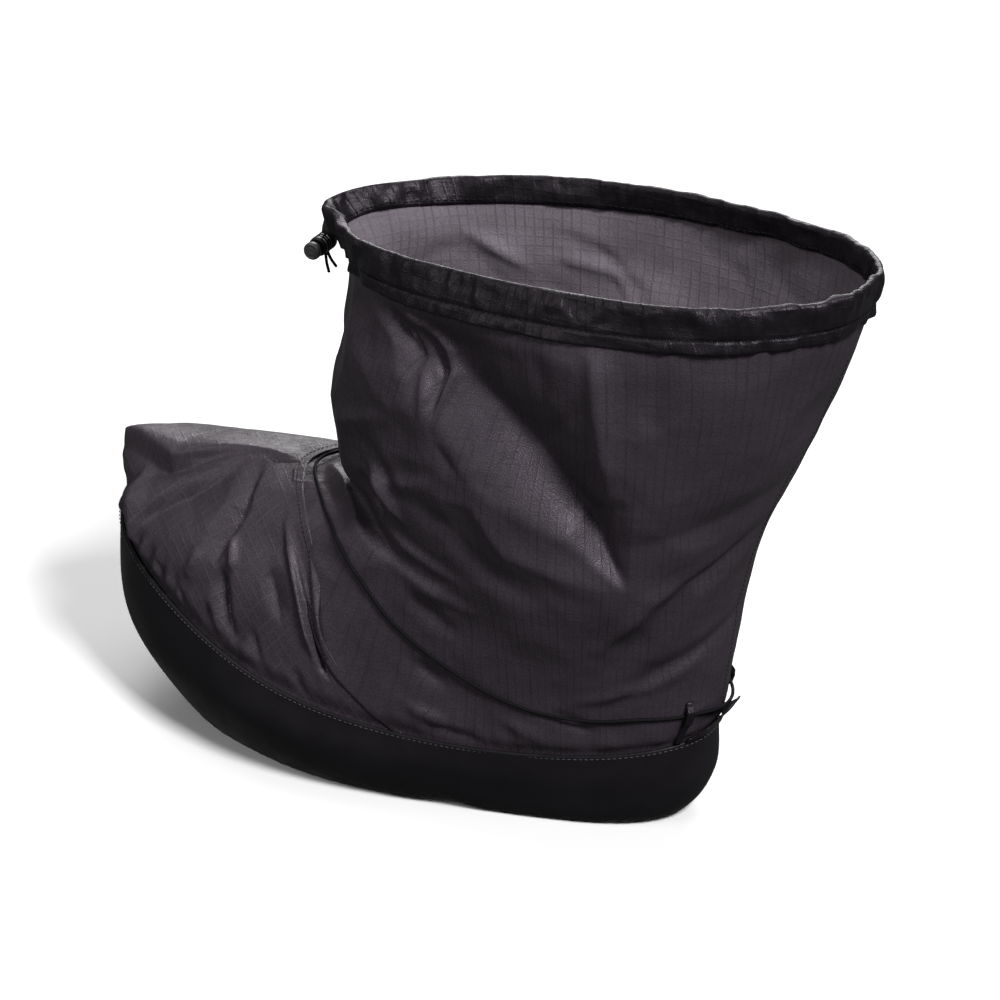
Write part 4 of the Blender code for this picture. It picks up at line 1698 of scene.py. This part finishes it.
@dataclass
class Upper:
    """Shaft and vamp of thin ripstop, sewn to each other at the throat and to the sole at the rand."""

    wall: float = 1.0
    tuck: float = 2.15
    tuck_start: float = 0.02
    tuck_ease: float = 0.3
    lowest: float = 2.8
    top_drop: float = 4.0
    shaft_columns: int = 420
    shaft_rows: int = 132
    inner_rows: int = 98
    vamp_columns: int = 300
    vamp_rows: int = 110
    vamp_inner_rows: int = 90
    vamp_from: float = 80.0
    vamp_proud: float = 0.3
    vamp_ease: float = 0.4
    overlap: float = 0.16
    fold: float = 0.15
    fold_reach: float = 0.05

    # Where the cloth is held flat, at the seam and at the casing, and how slack it is round the boot
    seam_ease: float = 0.35
    casing_drop: float = 20.0
    casing_ease: float = 0.5
    slack_back: float = 0.45
    slack_from: float = 50.0
    slack_over: float = 60.0
    crease_clear: float = 0.3

    # Height and length of the soft crumples, and of the sharp ones from large to small
    crumple: Pair = (0.8, 48.0)
    crinkles: tuple[Pair, ...] = ((1.0, 36.0), (0.3, 17.0))

    # Puckers along the rand, all round and by how much more at the toe
    gather: float = 0.4
    gather_toe: float = 0.8
    gather_from: float = 80.0
    gather_over: float = 50.0
    gather_above: float = 0.25
    gather_reach: float = 0.3
    gather_squash: float = 0.25
    gather_wave: float = 7.0
    gather_seed: int = 5

    # The oval that the shaft's cloth is measured round, and the levels of the vamp's middle line
    girth_half_x: float = 65.0
    girth_half_y: float = 120.0
    girth_past: float = 0.5
    girth_steps: int = 721
    axis_x: float = -3.0
    axis_y: float = 85.0
    middle_levels: Pair = (3.0, 6.4)
    middle_steps: int = 80

    # The stitches' places beside the seams
    stitch_proud: float = 0.1
    rand_below: float = 0.06
    rand_points: int = 900
    seam_inset: float = 6.0
    seam_below: float = 0.1
    seam_points: int = 500
    back_proud: float = 0.05
    back_levels: Pair = (3.9, 9.9)
    back_points: int = 300

    # Degrees from the heel and level of the seam between vamp and shaft
    seam: tuple[Pair, ...] = (
        (78.0, 2.86), (87.0, 3.4), (98.0, 4.3), (110.0, 4.95), (125.0, 5.52), (142.0, 5.96),
        (160.0, 6.15), (180.0, 6.15),
    )

    def seam_level(self, turn: np.ndarray) -> np.ndarray:
        """Level of the vamp's upper edge."""
        degrees = from_heel(turn)
        return np.where(degrees < self.seam[0][0], self.seam[0][1], through_stops(degrees, self.seam))

    def cloth(
        self,
        level: np.ndarray,
        turn: np.ndarray,
        panel: Panel,
        proud: np.ndarray | float,
        inner: bool = False,
    ) -> np.ndarray:
        """Points of a creased panel.

        Args:
            level: levels by row and column.
            turn: turns by row and column.
            panel: the panel.
            proud: height above the boot's plain surface.
            inner: whether this is the inner face, which keeps further away from deep creases.

        Returns:
            Places in millimetres by row and column.
        """
        plain = FORM.plain(level, turn)
        outward = FORM.normals(level, turn)
        above_seam = eased((level - Level.SEAM) / self.seam_ease)
        below_casing = eased((FORM.below_rim(self.casing_drop, turn) - level) / self.casing_ease)
        height = FORM.crease_heights(plain, outward, panel.creases)
        if inner:
            height = height - self.crease_clear * np.abs(height)
        forward = eased((from_heel(turn) - self.slack_from) / self.slack_over)
        slack = (self.slack_back + (1.0 - self.slack_back) * forward) * panel.slack
        rise, length = self.crumple
        height = height + rise * slack * waves(plain, length, panel.seed)
        for seed, (rise, length) in enumerate(self.crinkles, panel.seed + 1):
            height = height + rise * slack * folds(plain, length, seed)
        loose = (height + self.gathers(plain, level, turn)) * above_seam * below_casing
        tucked = -self.tuck * (1.0 - eased((level - Level.SEAM - self.tuck_start) / self.tuck_ease))
        total = loose + tucked + proud + FORM.pinched(level, turn)
        return plain + outward * total[..., None]

    def gathers(self, plain: np.ndarray, level: np.ndarray, turn: np.ndarray) -> np.ndarray:
        """Small puckers where the cloth is eased onto the rand, larger round the toe.

        Args:
            plain: places on the boot before its creases.
            level: their levels.
            turn: their turns.

        Returns:
            Heights in millimetres.
        """
        toe = eased((from_heel(turn) - self.gather_from) / self.gather_over)
        near_seam = np.exp(-(((level - Level.SEAM - self.gather_above) / self.gather_reach) ** 2))
        flat = plain * np.array((1.0, 1.0, self.gather_squash))
        puckers = waves(flat, self.gather_wave, self.gather_seed)
        return (self.gather + self.gather_toe * toe) * near_seam * puckers

    def shaft_weave(self, points: np.ndarray, turn: np.ndarray) -> np.ndarray:
        """Cloth coordinates of the shaft: round it and up it.

        Args:
            points: places in millimetres by row and column.
            turn: their turns.

        Returns:
            Pairs of coordinates in metres by row and column.
        """
        heading = np.arctan2(points[..., 0] - self.axis_x, points[..., 1] - self.axis_y)
        heading = heading + FULL_TURN * np.round((turn - heading) / FULL_TURN)
        steps = np.linspace(-self.girth_past, FULL_TURN + self.girth_past, self.girth_steps)
        reach = 1.0 / np.hypot(np.sin(steps) / self.girth_half_x, np.cos(steps) / self.girth_half_y)
        edge = np.stack((reach * np.sin(steps), reach * np.cos(steps)), axis=-1)
        round_it = np.interp(heading, steps, length_along(edge))
        return np.stack((round_it, points[..., 2]), axis=-1) * METRES

    def ring_weave(self, points: np.ndarray, turn: np.ndarray) -> np.ndarray:
        """Cloth coordinates of a band that goes round the whole shaft and back inside.

        Args:
            points: places in millimetres by row and column.
            turn: turn of each column.

        Returns:
            Pairs of coordinates in metres, with the first row and column again at the end.
        """
        closed = wrapped(points, columns_too=True)
        turns = np.broadcast_to(np.append(turn, FULL_TURN), closed.shape[:2])
        return self.shaft_weave(closed, turns)

    def vamp_weave(self, points: np.ndarray) -> np.ndarray:
        """Cloth coordinates of the vamp, on the bias.

        Args:
            points: places in millimetres by row and column.

        Returns:
            Pairs of coordinates in metres by row and column.
        """
        levels = np.linspace(*self.middle_levels, self.middle_steps)
        middle = FORM.plain(levels, np.full(levels.shape, math.pi))
        order = np.argsort(middle[:, 1])
        top = np.interp(points[..., 1], middle[order, 1], middle[order, 2])
        centre = np.interp(points[..., 1], middle[order, 1], middle[order, 0])
        sideways = points[..., 0] - centre
        across = np.sign(sideways) * np.hypot(sideways, top - points[..., 2])
        along = points[..., 1]
        return np.stack((across + along, across - along), axis=-1) * METRES / math.sqrt(2.0)

    def make_shaft(self) -> None:
        """Make the shaft panel, creased, with its inside painted lighter: painted light for the light
        that comes through the thin cloth and into the boot.
        """
        turn = around(self.shaft_columns)
        low = np.maximum(self.seam_level(turn) - self.overlap, self.lowest)
        high = FORM.below_rim(self.top_drop, turn)
        outer = FORM.even_levels(low, high, turn, self.shaft_rows)
        inner = FORM.even_levels(low, high, turn, self.inner_rows)[::-1]
        outside = self.cloth(outer, np.broadcast_to(turn, outer.shape), SHAFT, 0.0)
        inside = self.cloth(inner, np.broadcast_to(turn, inner.shape), SHAFT, -self.wall, inner=True)
        points = np.concatenate((outside, inside))
        shaft = grid_object(
            "shaft_panel",
            points,
            self.ring_weave(points, turn),
            (OUTER_CLOTH.material(), INNER_CLOTH_PAINTED_LIGHT.material()),
            close_rows=True,
            inner_from=self.shaft_rows,
        )
        settle(shaft, Body.BOOT, Slot.RIPSTOP, "upper")

    def make_vamp(self) -> None:
        """Make the vamp panel, creased, with its cloth on the bias and its edge over the shaft's."""
        limit = math.radians(self.vamp_from)
        turn = np.linspace(limit, FULL_TURN - limit, self.vamp_columns)
        low = np.full(self.vamp_columns, self.lowest)
        high = self.seam_level(turn)
        outer = FORM.even_levels(low, high, turn, self.vamp_rows)
        inner = FORM.even_levels(low, high, turn, self.vamp_inner_rows)[::-1]
        lifted = self.vamp_proud * eased((outer - Level.SEAM) / self.vamp_ease)
        folded = self.fold * np.exp(-(((high - outer) / self.fold_reach) ** 2))
        outside = self.cloth(outer, np.broadcast_to(turn, outer.shape), VAMP, lifted + folded)
        under = self.vamp_proud * eased((inner - Level.SEAM) / self.vamp_ease) - self.wall
        inside = self.cloth(inner, np.broadcast_to(turn, inner.shape), VAMP, under, inner=True)
        points = np.concatenate((outside, inside))
        vamp = grid_object(
            "vamp_panel",
            points,
            self.vamp_weave(wrapped(points)),
            # The vamp's inside takes the same painted light as the shaft's.
            (VAMP_CLOTH.material(), INNER_CLOTH_PAINTED_LIGHT.material()),
            close_columns=False,
            close_rows=True,
            inner_from=self.vamp_rows,
        )
        cap_columns(vamp, *points.shape[:2])
        settle(vamp, Body.BOOT, Slot.RIPSTOP, "upper")

    def sew(self, tree: StitchTree) -> None:
        """Sew the rand seam, the vamp's seam and the seam at the back.

        Args:
            tree: the stitch tree.
        """
        dark = DARK_THREAD.material()
        pale = PALE_THREAD.material()
        turn = np.linspace(0.0, FULL_TURN, self.rand_points)
        path = FORM.skin(np.full(turn.shape, Level.SEAM - self.rand_below), turn, self.stitch_proud)
        row = StitchRow("rand_stitches", Slot.COATED_SOLE, pitch=2.6, length=1.8, radius=0.22)
        row.sew(tree, path, pale)

        limit = math.radians(self.vamp_from + self.seam_inset)
        turn = np.linspace(limit, FULL_TURN - limit, self.seam_points)
        level = self.seam_level(turn) - self.seam_below
        path = self.cloth(level, turn, VAMP, self.vamp_proud + self.stitch_proud)
        StitchRow("vamp_seam_stitches", Slot.RIPSTOP).sew(tree, path, dark)

        level = np.linspace(*self.back_levels, self.back_points)
        path = self.cloth(level, np.zeros(level.shape), SHAFT, self.back_proud)
        StitchRow("back_seam_stitches", Slot.RIPSTOP).sew(tree, path, dark)


@dataclass
class CollarCasing:
    """Doubled band folded over the shaft's top edge, gathered at the front into a beak."""

    columns: int = 760
    beak_proud: float = 10.0
    beak_reach: float = 0.13
    beak_drop: float = 12.0
    beak_drop_reach: float = 5.0
    beak_root: float = 1.6
    cloth_gap: float = 0.55
    cloth: float = 0.3
    upper_wall: float = 1.0
    fold_drop: float = 3.5

    # How full the band is, all round and by how much more at its front and back
    full: float = 0.5
    full_front: float = 1.3
    full_back: float = 0.7
    front_reach: float = 0.16
    back_reach: float = 0.12

    # Heights and lengths of its gathers, and the start of their random draws
    gather_wave: float = 12.0
    sway: float = 0.7
    sway_wave: float = 40.0
    crumple: float = 1.1
    crumple_wave: float = 24.0
    crinkle: float = 0.5
    crinkle_wave: float = 9.0
    squash: float = 0.35
    seed: int = 41

    # The stitches below, which hold the gathers flat, and those of the hem inside
    stitch_proud: float = 1.1
    stitch_drop: float = 17.0
    stitch_hold: float = 0.75
    stitch_reach: float = 2.2
    stitch_points: int = 900
    hem_proud: float = -2.75
    hem_drop: float = 13.2

    # How far the band stands proud of the upper, and how far below the rim, from its lower edge outside,
    # over the rim, to its lower edge inside
    face: tuple[Pair, ...] = (
        (1.75, 22.2), (1.95, 21.6), (1.9, 20.5), (1.75, 18.4), (1.6, 17.6), (0.85, 17.0),
        (1.55, 16.4), (1.65, 15.2), (1.7, 13.2), (1.8, 11.4), (1.9, 9.4), (2.0, 7.4), (1.9, 5.2),
        (1.6, 3.0), (1.1, 1.0), (0.4, -0.4), (-0.5, -0.8), (-1.4, -0.3), (-2.1, 1.0), (-2.5, 3.4),
        (-2.7, 6.4), (-2.7, 9.0), (-2.6, 11.6), (-2.4, 13.6), (-2.4, 15.0),
    )

    def make(self, tree: StitchTree) -> None:
        """Make the band and sew it.

        Args:
            tree: the stitch tree.
        """
        turn = around(self.columns)
        inside = -self.upper_wall - self.cloth_gap
        back = (
            (inside, self.face[-1][1]),
            (inside, self.fold_drop),
            (self.cloth_gap, self.fold_drop),
            (self.cloth_gap, self.face[0][1]),
        )
        proud, drop = np.array(self.face + back).T
        visible = np.arange(len(proud)) < len(self.face)
        points = self.surface(proud[:, None], drop[:, None], turn[None, :], visible[:, None])
        weave = UPPER.ring_weave(points, turn)
        casing = grid_object("casing_band", points, weave, (CASING_CLOTH.material(),), close_rows=True)
        settle(casing, Body.BOOT, Slot.CASING_CLOTH, "collar_casing")
        self.sew(tree)

    def surface(
        self, proud: np.ndarray, drop: np.ndarray, turn: np.ndarray, visible: np.ndarray
    ) -> np.ndarray:
        """Points of the gathered band.

        Args:
            proud: how far each row stands proud of the upper.
            drop: how far each row lies below the rim.
            turn: turn of each column.
            visible: whether each row shows and so is gathered.

        Returns:
            Places in millimetres by row and column.
        """
        proud, drop, turn, visible = np.broadcast_arrays(proud, drop, turn, visible)
        level = FORM.below_rim(drop, turn)
        plain = FORM.plain(level, turn)
        flat = plain * np.array((1.0, 1.0, self.squash))
        from_front = (from_heel(turn) - 180.0) / 180.0
        front = np.exp(-((from_front / self.front_reach) ** 2))
        back = np.exp(-(((1.0 + from_front) / self.back_reach) ** 2))
        fullness = self.full + self.full_front * front + self.full_back * back
        held = 1.0 - self.stitch_hold * np.exp(-(((drop - self.stitch_drop) / self.stitch_reach) ** 2))
        ripple = fullness * held * waves(flat, self.gather_wave, self.seed)
        ripple = ripple + self.sway * held * waves(flat, self.sway_wave, self.seed + 1)
        ripple = ripple + self.crumple * held * folds(plain, self.crumple_wave, self.seed + 2)
        ripple = ripple + self.crinkle * held * folds(flat, self.crinkle_wave, self.seed + 3)
        sideways = (turn - math.pi) / self.beak_reach
        downward = (drop - self.beak_drop) / self.beak_drop_reach
        beak = self.beak_proud * np.exp(-(sideways**2) - downward**2)
        outside = proud > self.cloth_gap
        height = proud + np.where(visible, ripple, 0.0) + np.where(outside, beak, 0.0)
        lowest = self.cloth_gap + self.cloth
        deepest = -self.upper_wall - lowest
        height = np.where(outside & visible, np.maximum(height, lowest), height)
        height = np.where((proud < deepest) & visible, np.minimum(height, deepest), height)
        height = height + FORM.pinched(level, turn)
        return plain + FORM.normals(level, turn) * height[..., None]

    def sew(self, tree: StitchTree) -> None:
        """Sew the band's lower edge outside and its hem inside.

        Args:
            tree: the stitch tree.
        """
        thread = DARK_THREAD.material()
        turn = np.linspace(0.0, FULL_TURN, self.stitch_points)
        for name, proud, drop in (
            ("casing_stitches", self.stitch_proud, self.stitch_drop),
            ("casing_hem_stitches", self.hem_proud, self.hem_drop),
        ):
            path = self.surface(np.array(proud), np.array(drop), turn, np.array(True))
            row = StitchRow(name, Slot.CASING_CLOTH, pitch=3.2, length=2.5, radius=0.34)
            row.sew(tree, path, thread)


@dataclass
class AnkleElastic:
    """Thin covered elastic drawn round the ankle, from the instep down to the heel."""

    radius: float = 0.8
    stand: float = 0.1
    points: int = 420
    sides: int = 14
    smoothing: int = 31
    lift: float = 1.8
    lift_within: float = 18.0

    # Degrees from the heel and level
    stops: tuple[Pair, ...] = (
        (0.0, 3.98), (20.0, 4.02), (36.0, 3.98), (48.0, 3.87), (63.0, 3.98), (78.0, 4.4),
        (94.0, 4.92), (110.0, 5.5), (124.0, 5.93), (148.0, 6.3), (180.0, 6.25),
    )

    def taut(self, lying: np.ndarray, level: np.ndarray, turn: np.ndarray) -> np.ndarray:
        """Lift the elastic clear of the cloth, straight across its hollows.

        Args:
            lying: points of the cloth along the elastic.
            level: their levels.
            turn: their turns.

        Returns:
            Places of the elastic's middle line.
        """
        outward = FORM.normals(level, turn)
        height = np.einsum("ij,ij->i", lying - FORM.plain(level, turn), outward)
        spread = np.hanning(self.smoothing)
        padded = np.concatenate((height[-self.smoothing :], height, height[: self.smoothing]))
        spread_out = np.convolve(padded, spread / spread.sum(), mode="same")
        evened = spread_out[self.smoothing : -self.smoothing]
        lift = self.lift * eased((self.lift_within - from_heel(turn)) / self.lift_within)
        clear = np.maximum(np.maximum(height, evened), lift) + self.radius + self.stand
        return FORM.skin(level, turn, clear)

    def make(self) -> None:
        """Make the elastic."""
        turn = around(self.points)
        level = through_stops(from_heel(turn), self.stops)
        path = self.taut(UPPER.cloth(level, turn, SHAFT, 0.0), level, turn)
        finish = ELASTIC_BRAID.material()
        elastic = tube_object("elastic_loop", path, self.radius, self.sides, True, finish)
        settle(elastic, Body.BOOT, Slot.ELASTIC, "ankle_elastic")


@dataclass
class HeelKeeper:
    """Flap at the heel that holds the elastic off the upper, with a short strap on each side."""

    half_turn: float = 17.0
    foot: float = 3.04
    top: float = 4.18
    ends: float = 3.2
    proud: float = 0.4
    lean: float = 4.6
    wall: float = 0.8
    hem: float = 0.55
    hem_from: float = 0.86
    hem_over: float = 0.05
    pucker: float = 0.35
    pucker_wave: float = 14.0
    pucker_seed: int = 51
    columns: int = 90
    rows: int = 36
    strap_turns: Pair = (18.6, 21.2)
    strap_columns: int = 10
    strap_rows: int = 60

    # The row of stitches: its share of the flap's half width and of its height, and how it stands proud
    stitch_half: float = 0.96
    stitch_up: float = 0.8
    stitch_proud: float = 0.1
    stitch_points: int = 120

    # Level and how far a strap stands proud of the upper
    strap: tuple[Pair, ...] = (
        (3.12, 0.4), (3.4, 0.5), (3.7, 1.6), (3.85, 3.2), (4.02, 3.6), (4.2, 3.2), (4.32, 1.2),
        (4.4, 0.4),
    )

    def drape(
        self, name: str, node: str, level: np.ndarray, turn: np.ndarray, height: np.ndarray
    ) -> None:
        """Make one piece of casing cloth over the heel.

        Args:
            name: the piece's name.
            node: the node that it replaces.
            level: levels by row and column.
            turn: turns by row and column.
            height: how far its inner face stands proud of the upper.
        """
        outside = FORM.skin(level, turn, height + self.wall)
        inside = FORM.skin(level, turn, height)[::-1]
        points = np.concatenate((outside, inside))
        turns = wrapped(np.concatenate((turn, turn[::-1])))
        cloth = (CASING_CLOTH.material(),)
        weave = UPPER.shaft_weave(wrapped(points), turns)
        piece = grid_object(name, points, weave, cloth, close_columns=False, close_rows=True)
        cap_columns(piece, *points.shape[:2])
        settle(piece, Body.BOOT, Slot.CASING_CLOTH, node)

    def rise(self, across: np.ndarray, share: np.ndarray | float) -> np.ndarray:
        """Levels from the flap's foot up to a share of its height, which falls off to both sides."""
        top = self.ends + (self.top - self.ends) * np.cos(across * math.pi / 2.0) ** 2
        return (top - self.foot) * share

    def make(self, tree: StitchTree) -> None:
        """Make the flap with its rolled hem, the two straps and the flap's stitches.

        Args:
            tree: the stitch tree.
        """
        across = np.linspace(-1.0, 1.0, self.columns)
        share = np.linspace(0.0, 1.0, self.rows)[:, None]
        rise = self.rise(across, share)
        level = self.foot + rise
        turns = np.broadcast_to(np.radians(across * self.half_turn), level.shape)
        rolled = self.hem * eased((share - self.hem_from) / self.hem_over)
        pucker = self.pucker * waves(FORM.plain(level, turns), self.pucker_wave, self.pucker_seed)
        height = self.proud + self.lean * rise + rolled + pucker
        self.drape("keeper_flap", "heel_keeper", level, turns, height)

        rows = np.linspace(self.strap[0][0], self.strap[-1][0], self.strap_rows)[:, None]
        over = np.interp(rows, *np.array(self.strap).T)
        for name, node, side in (
            ("strap_outer", "elastic_strap_outer", 1.0),
            ("strap_inner", "elastic_strap_inner", -1.0),
        ):
            turn = np.sort(side * np.radians(np.linspace(*self.strap_turns, self.strap_columns)))
            self.drape(name, node, *np.broadcast_arrays(rows, turn, over))

        across = np.linspace(-self.stitch_half, self.stitch_half, self.stitch_points)
        rise = self.rise(across, self.stitch_up)
        height = self.proud + self.lean * rise + self.wall + self.stitch_proud
        path = FORM.skin(self.foot + rise, np.radians(across * self.half_turn), height)
        StitchRow("keeper_stitches", Slot.CASING_CLOTH).sew(tree, path, DARK_THREAD.material())


CASING = CollarCasing()
UPPER = Upper()


def main() -> None:
    """Dress the boot: camera and cords first, then its panels, trim and lock, then the light."""
    logging.basicConfig(level=logging.INFO, format="%(message)s")
    studio = Studio()
    studio.place_camera()
    lock = CordLock()
    lock.hang_cords()
    stitches = StitchTree()
    Sole().make(PebbleTree())
    UPPER.make_shaft()
    UPPER.make_vamp()
    UPPER.sew(stitches)
    CASING.make(stitches)
    AnkleElastic().make()
    HeelKeeper().make(stitches)
    lock.make_barrel()
    lock.make_button()
    studio.lay_floor()
    studio.light_up()


if __name__ == "__main__":
    main()
